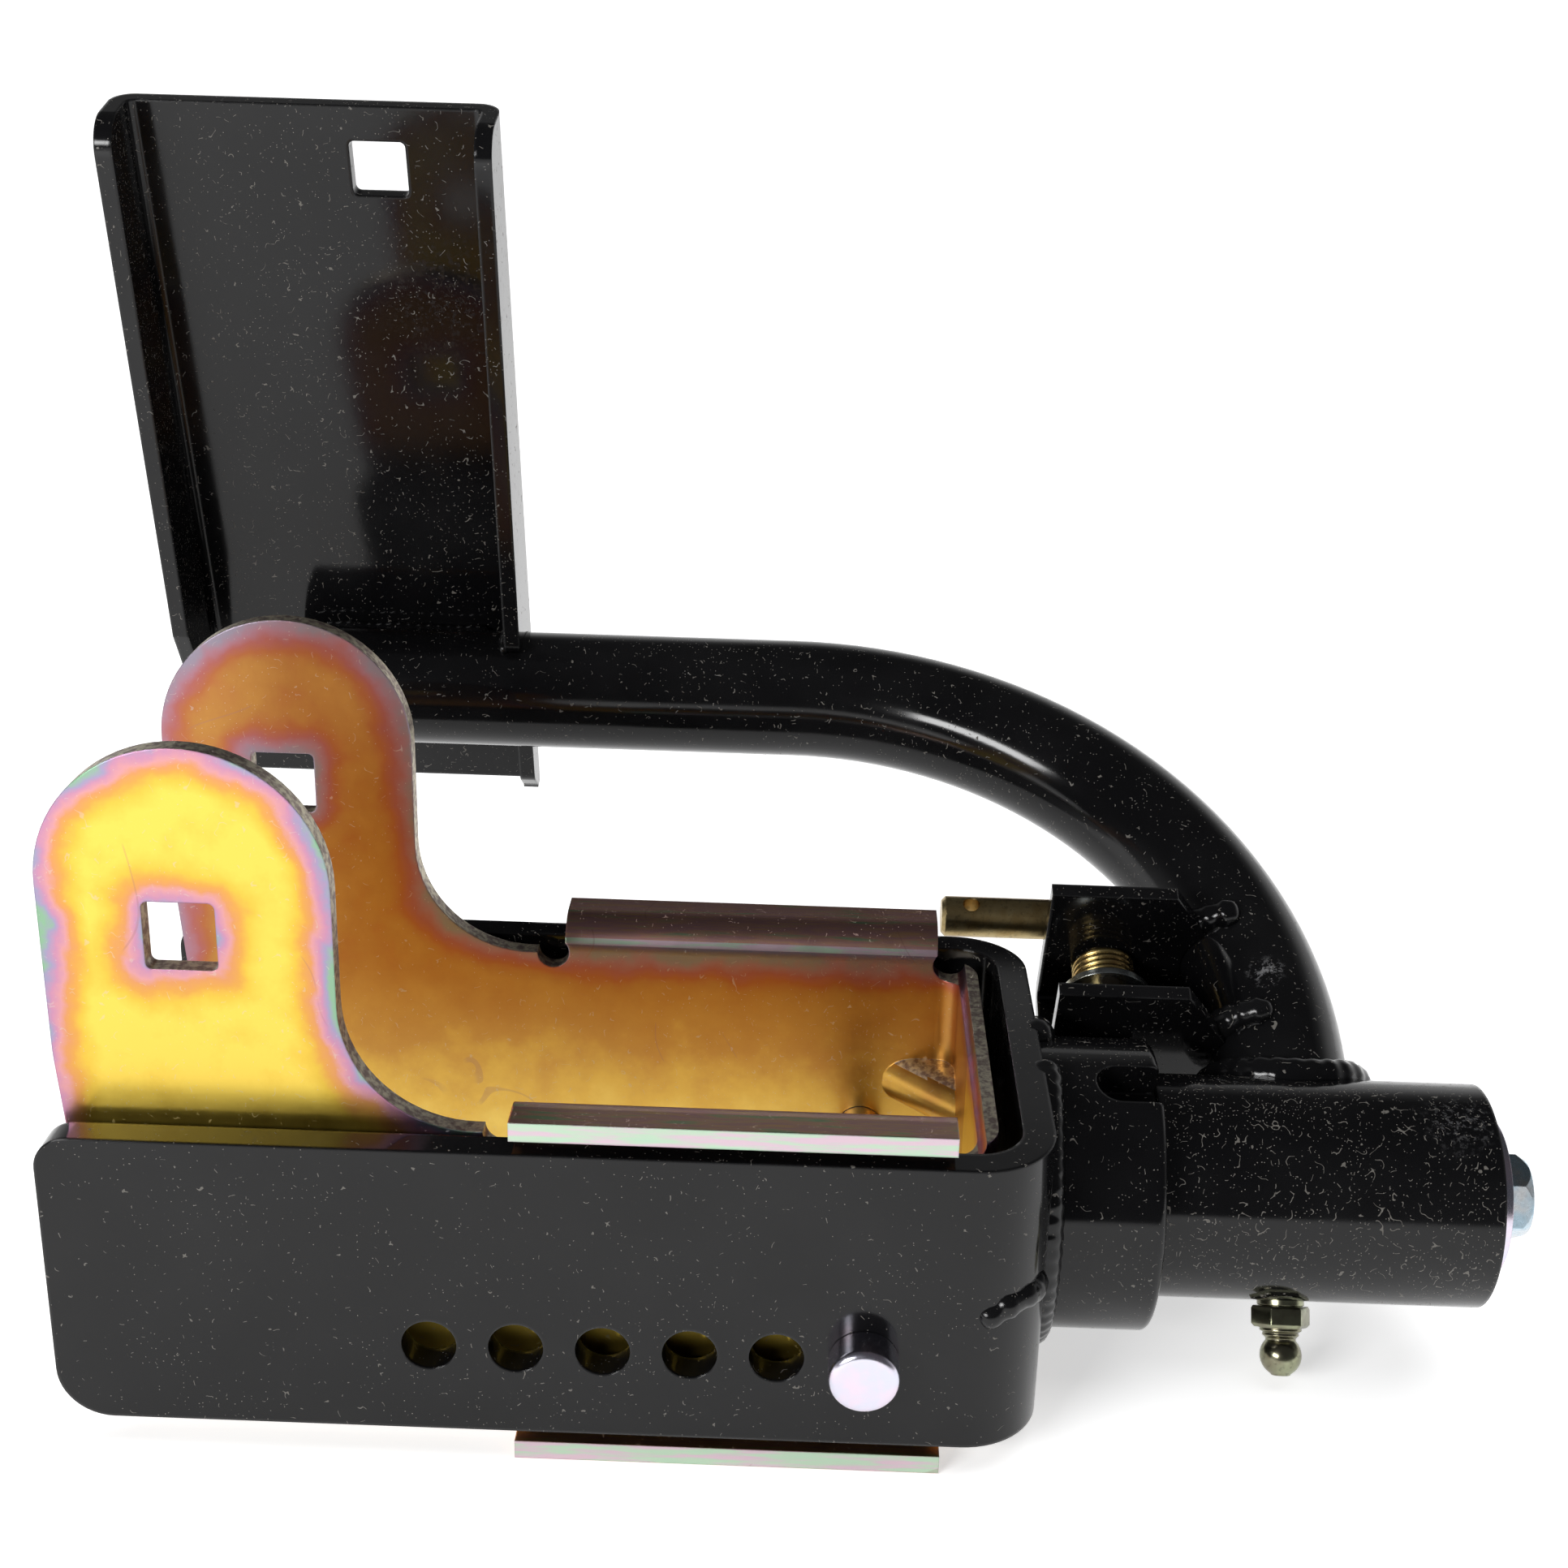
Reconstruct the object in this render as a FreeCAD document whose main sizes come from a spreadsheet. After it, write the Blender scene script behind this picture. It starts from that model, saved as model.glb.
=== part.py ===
"""Swing-arm bracket with a spring lock pin.

A steel U bracket carries a pivot at its closed end. A bent tube arm with an upright channel swings on that
pivot, and a sprung L-shaped pin on the arm locks it to a notched collar. A plated channel with two drilled
ears sits inside the bracket and is held by one clevis pin in a row of adjusting holes.

Frame: millimetres, +Z up, X along the bracket and the pivot, Y across it.
The origin is on the axis of the clevis pin, in the outer face of the near side plate.
"""
import FreeCAD, Part
import math
import os

import Sketcher
from FreeCAD import Placement, Rotation, Vector

SIZES = [
    # outer bracket, bent from flat bar
    ("bracket_width", 77.6, "outside width over both side plates"),
    ("bracket_height", 47.0, "height of the flat bar"),
    ("bracket_bottom", -14.6, "lower edge below the clevis pin axis"),
    ("bracket_left", -118.8, "open end of the side plates"),
    ("bracket_right", 26.8, "outer face of the end plate"),
    ("bracket_plate", 4.8, "thickness of the flat bar"),
    ("bracket_bend", 12.0, "outer radius of its two bends"),
    ("bracket_corner_low", 8.0, "lower corner radius at the open end"),
    ("bracket_corner_high", 5.0, "upper corner radius at the open end"),
    ("hole_pitch", 12.7, "spacing of the adjusting holes"),
    ("hole_count", 6, "adjusting holes in each side plate"),
    ("hole_dia", 8.1, "diameter of the adjusting holes"),
    # inner channel, folded from plated sheet
    ("channel_width", 63.0, "outside width over its side plates"),
    ("channel_plate", 3.0, "thickness of the sheet"),
    ("channel_bend", 6.5, "outer radius of the bends at its end web"),
    ("channel_right", 18.6, "outer face of its end web"),
    ("channel_left", -113.0, "lower left end of its side plates"),
    ("channel_bottom", -13.0, "lower edge of its side plates"),
    ("channel_top", 31.6, "upper edge of its side plates beside the lips"),
    ("lip_left", -51.3, "left end of the folded lips"),
    ("lip_length", 63.2, "length of the folded lips"),
    ("lip_gap", 2.0, "space between a lip and the bracket's edge"),
    ("lip_bend", 5.5, "outer radius of the lip bends"),
    ("lip_relief", 2.7, "radius of the round reliefs at the lip ends"),
    ("ear_x", -96.8, "middle of the ears"),
    ("ear_radius", 20.6, "radius of the ear tops"),
    ("ear_top", 88.9, "highest point of the ears"),
    ("ear_hollow", 19.0, "radius of the curve from ear to plate"),
    ("square_hole", 10.3, "side of the square holes"),
    ("square_hole_x", -97.6, "square hole centre, along"),
    ("square_hole_z", 61.0, "square hole centre, height"),
    ("gusset_reach", 12.0, "reach of the pressed stiffeners in its corners"),
    ("gusset_height", 9.0, "height of the pressed stiffeners"),
    # clevis pin and its clip
    ("clevis_dia", 7.94, "diameter of the clevis pin"),
    ("clevis_head_dia", 10.4, "diameter of its head"),
    ("clevis_head_height", 5.5, "height of its head"),
    ("clevis_tail", 9.0, "length beyond the far side plate"),
    ("clip_wire", 2.0, "wire diameter of the hairpin clip"),
    # pivot
    ("pivot_height", 8.0, "pivot axis above the clevis pin axis"),
    ("collar_dia", 46.0, "diameter of the lock collar"),
    ("collar_end", 45.3, "free face of the lock collar"),
    ("notch_width", 7.7, "width of a lock notch"),
    ("notch_length", 10.2, "length of a lock notch from the free face"),
    ("notch_depth", 6.5, "depth of a lock notch"),
    ("notch_angle", -17.0, "first notch, from straight up towards +Y"),
    ("spindle_dia", 19.05, "diameter of the pivot spindle"),
    ("spindle_end", 97.9, "free end of the pivot spindle"),
    ("sleeve_dia", 35.3, "outside diameter of the pivot sleeve"),
    ("sleeve_bore", 26.6, "bore of the pivot sleeve"),
    ("sleeve_start", 45.5, "sleeve face beside the collar"),
    ("sleeve_end", 97.7, "sleeve face beside the end washer"),
    ("bush_length", 19.0, "length of each pivot bush"),
    ("bush_play", 0.05, "radial running clearance on the spindle"),
    ("washer_dia", 25.0, "diameter of the end washer"),
    ("washer_thick", 2.5, "thickness of the end washer"),
    ("bolt_dia", 7.94, "diameter of the end bolt"),
    ("bolt_flats", 12.0, "width of its head across the flats"),
    ("bolt_head", 5.4, "height of its head"),
    ("bolt_length", 25.0, "length of its shank"),
    # grease nipple
    ("nipple_x", 67.0, "place of the grease nipple along the sleeve"),
    ("nipple_angle", 31.0, "its tilt from straight down towards -Y"),
    ("nipple_flats", 8.2, "its hexagon across the flats"),
    ("nipple_ball", 6.6, "diameter of its ball end"),
    # swing arm; its lean is measured from straight up towards +Y
    ("arm_lean", 65.0, "lean of the arm at rest"),
    ("arm_root_x", 69.5, "middle of the tube where it leaves the sleeve"),
    ("arm_reach", 110.0, "distance of the straight run from the pivot"),
    ("arm_bend", 84.0, "centre-line radius of the tube's bend"),
    ("arm_end", -113.2, "open end of the tube"),
    ("tube_dia", 22.6, "outside diameter of the tube"),
    ("tube_wall", 2.0, "wall of the tube"),
    # upright channel on the arm
    ("upright_lean", 9.2, "how much further than the arm it leans, turned about the tube's axis"),
    ("upright_left", -134.1, "outer face of its left flange"),
    ("upright_right", -67.3, "outer face of its right flange"),
    ("upright_plate", 3.0, "thickness of its sheet"),
    ("upright_top", 111.5, "its top edge above the tube's axis"),
    ("upright_foot", 30.0, "its lower edge below the tube's axis"),
    ("upright_bend", 4.0, "outer radius of its bends"),
    ("flange_top", 12.0, "depth of the flanges at the top"),
    ("flange_low", 16.0, "depth of the flanges beside the tube"),
    ("flange_corner", 6.0, "radius of the flanges' top corners"),
    ("upright_hole", 9.8, "side of its square hole"),
    ("upright_hole_x", -89.0, "its square hole, along"),
    ("upright_hole_up", 100.5, "its square hole above the tube's axis"),
    # lock housing and lock pin; stations are distances from the pivot axis
    ("housing_left", 31.2, "left edge of the lock housing"),
    ("housing_right", 62.0, "right edge before it is cut to the tube"),
    ("housing_plate", 2.5, "thickness of its sheet"),
    ("housing_low", 24.2, "lower face of its lower plate"),
    ("housing_high", 48.2, "upper face of its upper plate"),
    ("housing_front_end", 52.5, "where its front edge turns off towards the tube"),
    ("housing_corner_end", 59.9, "where the cut corner meets the tube"),
    ("housing_front", 17.3, "its open side, from the lock pin's axis"),
    ("housing_back", 12.5, "outer face of its web, from the lock pin's axis"),
    ("housing_bend", 3.5, "outer radius of its bends"),
    ("lock_x", 41.6, "lock pin axis"),
    ("lock_dia", 7.2, "diameter of the lock pin"),
    ("lock_tip", 23.3, "tip of the lock pin, just off the collar"),
    ("lock_handle", 55.0, "axis of its handle"),
    ("lock_handle_end", 13.5, "free end of its handle"),
    ("lock_bend", 7.0, "centre-line radius of its bend"),
    ("lock_hole", 3.0, "cross hole near the end of its handle"),
    ("lock_play", 0.15, "radial clearance of the pin in the housing"),
    ("lock_washer_dia", 15.6, "diameter of the spring washer seat"),
    ("lock_washer_thick", 1.2, "its thickness"),
    ("roll_pin_dia", 3.0, "diameter of the roll pin under the washer"),
    ("roll_pin_length", 14.0, "length of the roll pin"),
    ("roll_pin_at", 35.4, "roll pin axis"),
    ("spring_dia", 10.8, "outside diameter of the lock spring"),
    ("spring_wire", 1.2, "its wire"),
    ("spring_turns", 5.5, "its turns"),
    # welds
    ("weld_leg", 3.5, "leg of the fillet welds"),
]

doc = FreeCAD.newDocument("swing_arm_bracket")
sheet = doc.addObject("Spreadsheet::Sheet", "sizes")
for row, (alias, value, note) in enumerate(SIZES, start=1):
    sheet.set(f"A{row}", note)
    sheet.set(f"B{row}", str(value))
    sheet.setAlias(f"B{row}", alias)
doc.recompute()

SUB_PARTS = []


def size(alias):
    """The value of one cell of the sheet."""
    return float(sheet.get(alias))


def keep(piece, name, placement=None):
    """Give a finished sub-part its label and its place."""
    piece.Label = name
    if placement is not None:
        piece.Placement = placement
    SUB_PARTS.append(piece)
    return piece


def bind(piece, **cells):
    """Bind properties of an object to expressions over the sheet."""
    for prop, text in cells.items():
        piece.setExpression(prop.replace("__", "."), text)
    return piece


# ---- outlines -------------------------------------------------------------------------------------------

def rounded_outline(corners):
    """Edges of a closed outline from (x, y, radius) corners, as sketch geometry."""
    points = [Vector(x, y, 0) for x, y, _ in corners]
    count = len(points)
    cuts = []
    for i, (_, _, radius) in enumerate(corners):
        here = points[i]
        back = (points[i - 1] - here).normalize()
        ahead = (points[(i + 1) % count] - here).normalize()
        if radius <= 0:
            cuts.append((here, None, here))
            continue
        half = back.getAngle(ahead) / 2
        run = radius / math.tan(half)
        centre = here + (back + ahead).normalize() * (radius / math.sin(half))
        middle = centre + (here - centre).normalize() * radius
        cuts.append((here + back * run, middle, here + ahead * run))
    edges = []
    for i in range(count):
        start, middle, end = cuts[i]
        if middle is not None:
            edges.append(Part.Arc(start, middle, end))
        following = cuts[(i + 1) % count][0]
        if (following - end).Length > 1e-6:
            edges.append(Part.LineSegment(end, following))
    return edges


def flat_face(corners):
    """A flat face in the XY plane from (x, y, radius) corners."""
    return Part.Face(Part.Wire([edge.toShape() for edge in rounded_outline(corners)]))


def origin_plane(body, role):
    return next(item for item in body.Origin.OriginFeatures if item.Role == role)


def new_sketch(body, name, role, shift=0.0):
    """A sketch on one of the body's own origin planes."""
    drawing = body.newObject("Sketcher::SketchObject", name)
    drawing.AttachmentSupport = (origin_plane(body, role), "")
    drawing.MapMode = "FlatFace"
    drawing.AttachmentOffset = Placement(Vector(0, 0, shift), Rotation())
    return drawing


def draw(drawing, corners):
    """Add one closed outline, its ends joined point to point."""
    edges = rounded_outline(corners)
    first = drawing.GeometryCount
    drawing.addGeometry(edges, False)
    for i in range(len(edges)):
        here, following = first + i, first + (i + 1) % len(edges)
        end = 2
        if isinstance(edges[i], Part.Arc) and arc_is_reversed(edges[i]):
            end = 1
        start = 1
        nxt = edges[(i + 1) % len(edges)]
        if isinstance(nxt, Part.Arc) and arc_is_reversed(nxt):
            start = 2
        drawing.addConstraint(Sketcher.Constraint("Coincident", here, end, following, start))


def arc_is_reversed(arc):
    """A sketch keeps arcs counter-clockwise, so a clockwise one has its ends swapped."""
    curve = arc.toShape().Curve
    return curve.Axis.z < 0


def hole(drawing, x, y, diameter_cell):
    """A circle whose diameter follows the sheet."""
    index = drawing.addGeometry(Part.Circle(Vector(x, y, 0), Vector(0, 0, 1), size(diameter_cell) / 2), False)
    number = drawing.addConstraint(Sketcher.Constraint("Diameter", index, size(diameter_cell)))
    drawing.setExpression(f"Constraints[{number}]", f"<<sizes>>.{diameter_cell}")


def pad(body, drawing, name, length_text):
    feature = body.newObject("PartDesign::Pad", name)
    feature.Profile = drawing
    feature.setExpression("Length", length_text)
    doc.recompute()
    return feature


def cut_through(body, drawing, name):
    """A pocket right through the body, on whichever side of the sketch the body is."""
    before = body.Shape.Volume
    feature = body.newObject("PartDesign::Pocket", name)
    feature.Profile = drawing
    feature.Type = "ThroughAll"
    doc.recompute()
    if body.Shape.isNull() or body.Shape.Volume > before - 1e-3:
        feature.Reversed = True
        doc.recompute()
    return feature


def cut_part(body, drawing, name, depth):
    """A pocket of a given depth, towards the body's +X side of the sketch."""
    before = body.Shape.Volume
    feature = body.newObject("PartDesign::Pocket", name)
    feature.Profile = drawing
    feature.Length = depth
    feature.Reversed = True
    doc.recompute()
    if body.Shape.isNull() or body.Shape.Volume > before - 1e-3:
        feature.Reversed = False
        doc.recompute()
    return feature


def rod_along(start, direction, radius, length):
    return Part.makeCylinder(radius, length, start, direction)


def solid_feature(name, shape, placement=None):
    """A sub-part whose shape is made by formula from the sheet."""
    feature = doc.addObject("Part::Feature", name)
    feature.Shape = shape.removeSplitter() if shape.ShapeType in ("Solid", "Compound") else shape
    return keep(feature, name, placement)


X_AXIS, Y_AXIS, Z_AXIS = Vector(1, 0, 0), Vector(0, 1, 0), Vector(0, 0, 1)
PIVOT_Y = size("bracket_width") / 2
PIVOT = Vector(0, PIVOT_Y, size("pivot_height"))
ARM_FRAME = Placement(PIVOT, Rotation(X_AXIS, -size("arm_lean")))
TUBE_AXIS = Vector(0, 0, size("arm_reach"))
UPRIGHT_TURN = Placement(Vector(), Rotation(X_AXIS, -size("upright_lean")), TUBE_AXIS)
UPRIGHT_FRAME = ARM_FRAME.multiply(UPRIGHT_TURN)


# ---- outer bracket --------------------------------------------------------------------------------------

def make_outer_bracket():
    left, right, width = size("bracket_left"), size("bracket_right"), size("bracket_width")
    plate, bend = size("bracket_plate"), size("bracket_bend")
    body = doc.addObject("PartDesign::Body", "outer_bracket")
    plan = new_sketch(body, "bracket_plan", "XY_Plane")
    draw(plan, [
        (left, 0, 0), (right, 0, bend), (right, width, bend), (left, width, 0),
        (left, width - plate, 0), (right - plate, width - plate, bend - plate),
        (right - plate, plate, bend - plate), (left, plate, 0),
    ])
    pad(body, plan, "bracket_bar", "<<sizes>>.bracket_height")
    lift = -size("bracket_bottom")
    row = new_sketch(body, "adjusting_holes", "XZ_Plane")
    for number in range(int(size("hole_count"))):
        hole(row, -number * size("hole_pitch"), lift, "hole_dia")
    cut_through(body, row, "adjusting_hole_cut")
    seat = new_sketch(body, "spindle_hole", "YZ_Plane")
    hole(seat, PIVOT_Y, lift + size("pivot_height"), "spindle_dia")
    cut_through(body, seat, "spindle_hole_cut")
    for name, level, cell in (("low_corners", 0.0, "bracket_corner_low"),
                              ("high_corners", size("bracket_height"), "bracket_corner_high")):
        tip = body.Tip
        names = []
        for i, edge in enumerate(tip.Shape.Edges, start=1):
            middle = edge.CenterOfMass
            along_y = abs(edge.tangentAt(edge.FirstParameter).y) > 0.99
            if along_y and abs(middle.x - left) < 0.01 and abs(middle.z - level) < 0.01:
                names.append(f"Edge{i}")
        fillet = body.newObject("PartDesign::Fillet", name)
        fillet.Base = (tip, names)
        fillet.setExpression("Radius", f"<<sizes>>.{cell}")
        doc.recompute()
    keep(body, "outer_bracket", Placement(Vector(0, 0, size("bracket_bottom")), Rotation()))


# ---- inner channel --------------------------------------------------------------------------------------

def side_plate_outline():
    """One side plate with its ear, in X and Z."""
    ear_x, radius = size("ear_x"), size("ear_radius")
    top, low = size("ear_top"), size("channel_bottom")
    shelf, hollow = size("channel_top"), size("ear_hollow")
    return [
        (size("channel_left"), low, 3.0),
        (size("channel_left") - 4.2, 42.0, 40.0),
        (ear_x - radius, top, radius - 0.05),
        (ear_x + radius, top, radius - 0.05),
        (ear_x + radius, shelf, hollow),
        (0.0, shelf, 0),
        (0.0, low, 0),
    ]


def make_slide_channel():
    plate, bend = size("channel_plate"), size("channel_bend")
    near = (size("bracket_width") - size("channel_width")) / 2
    far = size("bracket_width") - near
    right, low, shelf = size("channel_right"), size("channel_bottom"), size("channel_top")
    body = doc.addObject("PartDesign::Body", "slide_channel")

    plan = new_sketch(body, "channel_plan", "XY_Plane", low)
    draw(plan, [
        (-5.0, near, 0), (right, near, bend), (right, far, bend), (-5.0, far, 0),
        (-5.0, far - plate, 0), (right - plate, far - plate, bend - plate),
        (right - plate, near + plate, bend - plate), (-5.0, near + plate, 0),
    ])
    pad(body, plan, "channel_end", "<<sizes>>.channel_top - <<sizes>>.channel_bottom")

    for name, level in (("near_plate", -near - plate), ("far_plate", -far)):
        side = new_sketch(body, name + "_outline", "XZ_Plane", level)
        draw(side, side_plate_outline())
        pad(body, side, name, "<<sizes>>.channel_plate")

    edge_high = size("bracket_bottom") + size("bracket_height") + size("lip_gap")
    edge_low = size("bracket_bottom") - size("lip_gap")
    lips = new_sketch(body, "lip_section", "YZ_Plane", size("lip_left"))
    outer, inner = size("lip_bend"), size("lip_bend") - plate
    for wall, tip, side in ((near, 0.2, 1), (far, size("bracket_width") - 0.2, -1)):
        draw(lips, [
            (tip, edge_high, 0), (wall, edge_high, inner), (wall, edge_low, inner), (tip, edge_low, 0),
            (tip, edge_low - plate, 0), (wall + side * plate, edge_low - plate, outer),
            (wall + side * plate, edge_high + plate, outer), (tip, edge_high + plate, 0),
        ])
    pad(body, lips, "lips", "<<sizes>>.lip_length")

    reliefs = new_sketch(body, "lip_reliefs", "XZ_Plane")
    relief = size("lip_relief")
    for x in (size("lip_left") - relief * 0.75, size("lip_left") + size("lip_length") + relief * 0.75):
        for z in (shelf, low):
            index = reliefs.addGeometry(Part.Circle(Vector(x, z, 0), Vector(0, 0, 1), relief), False)
            number = reliefs.addConstraint(Sketcher.Constraint("Radius", index, relief))
            reliefs.setExpression(f"Constraints[{number}]", "<<sizes>>.lip_relief")
    cut_through(body, reliefs, "lip_relief_cut")

    reach, high = size("gusset_reach"), size("gusset_height")
    middle = (low + shelf) / 2
    for name, wall, side in (("near_gusset", near + plate, 1), ("far_gusset", far - plate, -1)):
        rib = new_sketch(body, name + "_plan", "XY_Plane", middle - high / 2)
        draw(rib, [
            (right - plate / 2, wall - side * plate / 2, 0), (right - plate - reach, wall - side * plate / 2, 0),
            (right - plate - reach, wall, 0), (right - plate, wall + side * reach, 0),
            (right - plate / 2, wall + side * reach, 0),
        ])
        pad(body, rib, name, "<<sizes>>.gusset_height")
        tip = body.Tip
        names = []
        for i, edge in enumerate(tip.Shape.Edges, start=1):
            direction = edge.tangentAt(edge.FirstParameter)
            slanted = abs(abs(direction.x) - abs(direction.y)) < 0.01 and abs(direction.z) < 0.01
            if slanted and edge.Length > 8 and abs(edge.CenterOfMass.y - wall) < reach:
                names.append(f"Edge{i}")
        soften = body.newObject("PartDesign::Fillet", name + "_round")
        soften.Base = (tip, names)
        soften.Radius = high * 0.45
        doc.recompute()

    half = size("square_hole") / 2
    ears = new_sketch(body, "square_holes", "XZ_Plane")
    draw(ears, [(size("square_hole_x") + dx * half, size("square_hole_z") + dz * half, 1.0)
                for dx, dz in ((-1, -1), (1, -1), (1, 1), (-1, 1))])
    cut_through(body, ears, "square_hole_cut")
    pins = new_sketch(body, "pin_hole", "XZ_Plane")
    hole(pins, 0, 0, "hole_dia")
    cut_through(body, pins, "pin_hole_cut")
    keep(body, "slide_channel")


# ---- clevis pin and clip --------------------------------------------------------------------------------

def make_clevis_pin():
    """A headed pin: head outside the near plate, tail with a cross hole outside the far plate."""
    radius, head = size("clevis_dia") / 2, size("clevis_head_height")
    length = size("bracket_width") + size("clevis_tail")
    crown = Part.makeCylinder(size("clevis_head_dia") / 2, head, Vector(0, -head - 0.1, 0), Y_AXIS)
    rim = [edge for edge in crown.Edges if abs(edge.CenterOfMass.y + head + 0.1) < 0.01 and edge.Closed
           and abs(edge.Length - math.pi * size("clevis_head_dia")) < 0.1]
    crown = crown.makeFillet(1.2, rim)
    shank = Part.makeCylinder(radius, length, Vector(0, -0.1, 0), Y_AXIS)
    end_rim = [edge for edge in shank.Edges if abs(edge.CenterOfMass.y - length + 0.1) < 0.01 and edge.Closed]
    shank = shank.makeChamfer(1.0, end_rim)
    clip_y = size("bracket_width") + size("clevis_tail") / 2
    cross = rod_along(Vector(0, clip_y, -10), Z_AXIS, size("clip_wire") / 2 + 0.15, 20)
    solid_feature("clevis_pin", crown.fuse(shank).cut(cross))


def make_pin_clip():
    """A hairpin clip hanging by its straight leg: one leg through the pin, one bowed past it, an eye below."""
    wire = size("clip_wire")
    y = size("bracket_width") + size("clevis_tail") / 2
    side = size("clevis_dia") / 2 + wire / 2 + 0.1
    top, knee, eye = 14.0, -9.0, 4.0
    path = Part.Wire([
        Part.LineSegment(Vector(0, y, top), Vector(0, y, knee)).toShape(),
        Part.Arc(Vector(0, y, knee), Vector(side / 2, y, knee - eye), Vector(side, y, knee)).toShape(),
        Part.LineSegment(Vector(side, y, knee), Vector(side, y, top - 6)).toShape(),
        Part.Arc(Vector(side, y, top - 6), Vector(side + 0.6, y, top - 3), Vector(side + 2.4, y, top)).toShape(),
    ])
    section = Part.Wire([Part.Circle(Vector(0, y, top), Z_AXIS, wire / 2).toShape()])
    solid_feature("pin_clip", path.makePipeShell([section], True, True))


# ---- pivot ----------------------------------------------------------------------------------------------

def make_lock_collar():
    start, end = size("bracket_right"), size("collar_end")
    radius = size("collar_dia") / 2
    ring = rod_along(Vector(start, 0, 0), X_AXIS, radius, end - start)
    rims = [edge for edge in ring.Edges if edge.Closed and abs(edge.CenterOfMass.x - end) < 0.01
            and abs(edge.Length - 2 * math.pi * radius) < 0.1]
    ring = ring.makeFillet(1.2, rims)
    ring = ring.cut(rod_along(Vector(start - 1, 0, 0), X_AXIS, size("spindle_dia") / 2, end - start + 2))
    half, long = size("notch_width") / 2, size("notch_length")
    floor = radius - size("notch_depth")
    slot = Part.makeBox(long + 1, 2 * half, 20, Vector(end - long + half, -half, floor))
    slot = slot.fuse(Part.makeCylinder(half, 20, Vector(end - long + half, 0, floor), Z_AXIS))
    for angle in (size("notch_angle"), size("notch_angle") + 180):
        tool = slot.copy()
        tool.rotate(Vector(0, 0, 0), X_AXIS, -angle)
        ring = ring.cut(tool)
    solid_feature("lock_collar", ring, Placement(PIVOT, Rotation()))


def make_spindle():
    """A bar through the end plate, drilled and tapped for the end bolt."""
    start = size("bracket_right") - size("bracket_plate")
    bar = doc.addObject("Part::Cylinder", "spindle_bar")
    bind(bar, Radius="<<sizes>>.spindle_dia / 2",
         Height="<<sizes>>.spindle_end - <<sizes>>.bracket_right + <<sizes>>.bracket_plate")
    bar.Placement = Placement(Vector(start, 0, 0), Rotation(Y_AXIS, 90))
    bore = doc.addObject("Part::Cylinder", "spindle_bore")
    bind(bore, Radius="<<sizes>>.bolt_dia / 2", Height="<<sizes>>.bolt_length + 4")
    bore.Placement = Placement(Vector(size("spindle_end") - size("bolt_length"), 0, 0), Rotation(Y_AXIS, 90))
    cut = doc.addObject("Part::Cut", "pivot_spindle")
    cut.Base, cut.Tool = bar, bore
    keep(cut, "pivot_spindle", Placement(PIVOT, Rotation()))


def make_sleeve():
    """The pivot sleeve, bored for its bushes, with a tapped hole for the grease nipple."""
    tube = doc.addObject("Part::Cylinder", "sleeve_outside")
    bind(tube, Radius="<<sizes>>.sleeve_dia / 2", Height="<<sizes>>.sleeve_end - <<sizes>>.sleeve_start")
    tube.Placement = Placement(Vector(size("sleeve_start"), 0, 0), Rotation(Y_AXIS, 90))
    bore = doc.addObject("Part::Cylinder", "sleeve_inside")
    bind(bore, Radius="<<sizes>>.sleeve_bore / 2", Height="<<sizes>>.sleeve_end - <<sizes>>.sleeve_start + 2")
    bore.Placement = Placement(Vector(size("sleeve_start") - 1, 0, 0), Rotation(Y_AXIS, 90))
    pipe = doc.addObject("Part::Cut", "sleeve_pipe")
    pipe.Base, pipe.Tool = tube, bore
    tap = doc.addObject("Part::Cylinder", "nipple_hole")
    bind(tap, Radius="3.2", Height="<<sizes>>.sleeve_dia")
    tap.Placement = Placement(Vector(size("nipple_x"), 0, 0), Rotation(X_AXIS, 180 - size("nipple_angle")))
    sleeve = doc.addObject("Part::Cut", "pivot_sleeve")
    sleeve.Base, sleeve.Tool = pipe, tap
    keep(sleeve, "pivot_sleeve", Placement(PIVOT, Rotation()))


def make_bushes():
    for name, start in (("inner_bush", size("sleeve_start")),
                        ("outer_bush", size("sleeve_end") - size("bush_length"))):
        outside = doc.addObject("Part::Cylinder", name + "_outside")
        bind(outside, Radius="<<sizes>>.sleeve_bore / 2", Height="<<sizes>>.bush_length")
        inside = doc.addObject("Part::Cylinder", name + "_bore")
        bind(inside, Radius="<<sizes>>.spindle_dia / 2 + <<sizes>>.bush_play",
             Height="<<sizes>>.bush_length")
        bush = doc.addObject("Part::Cut", name)
        bush.Base, bush.Tool = outside, inside
        keep(bush, name, Placement(PIVOT + Vector(start, 0, 0), Rotation(Y_AXIS, 90)))


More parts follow.
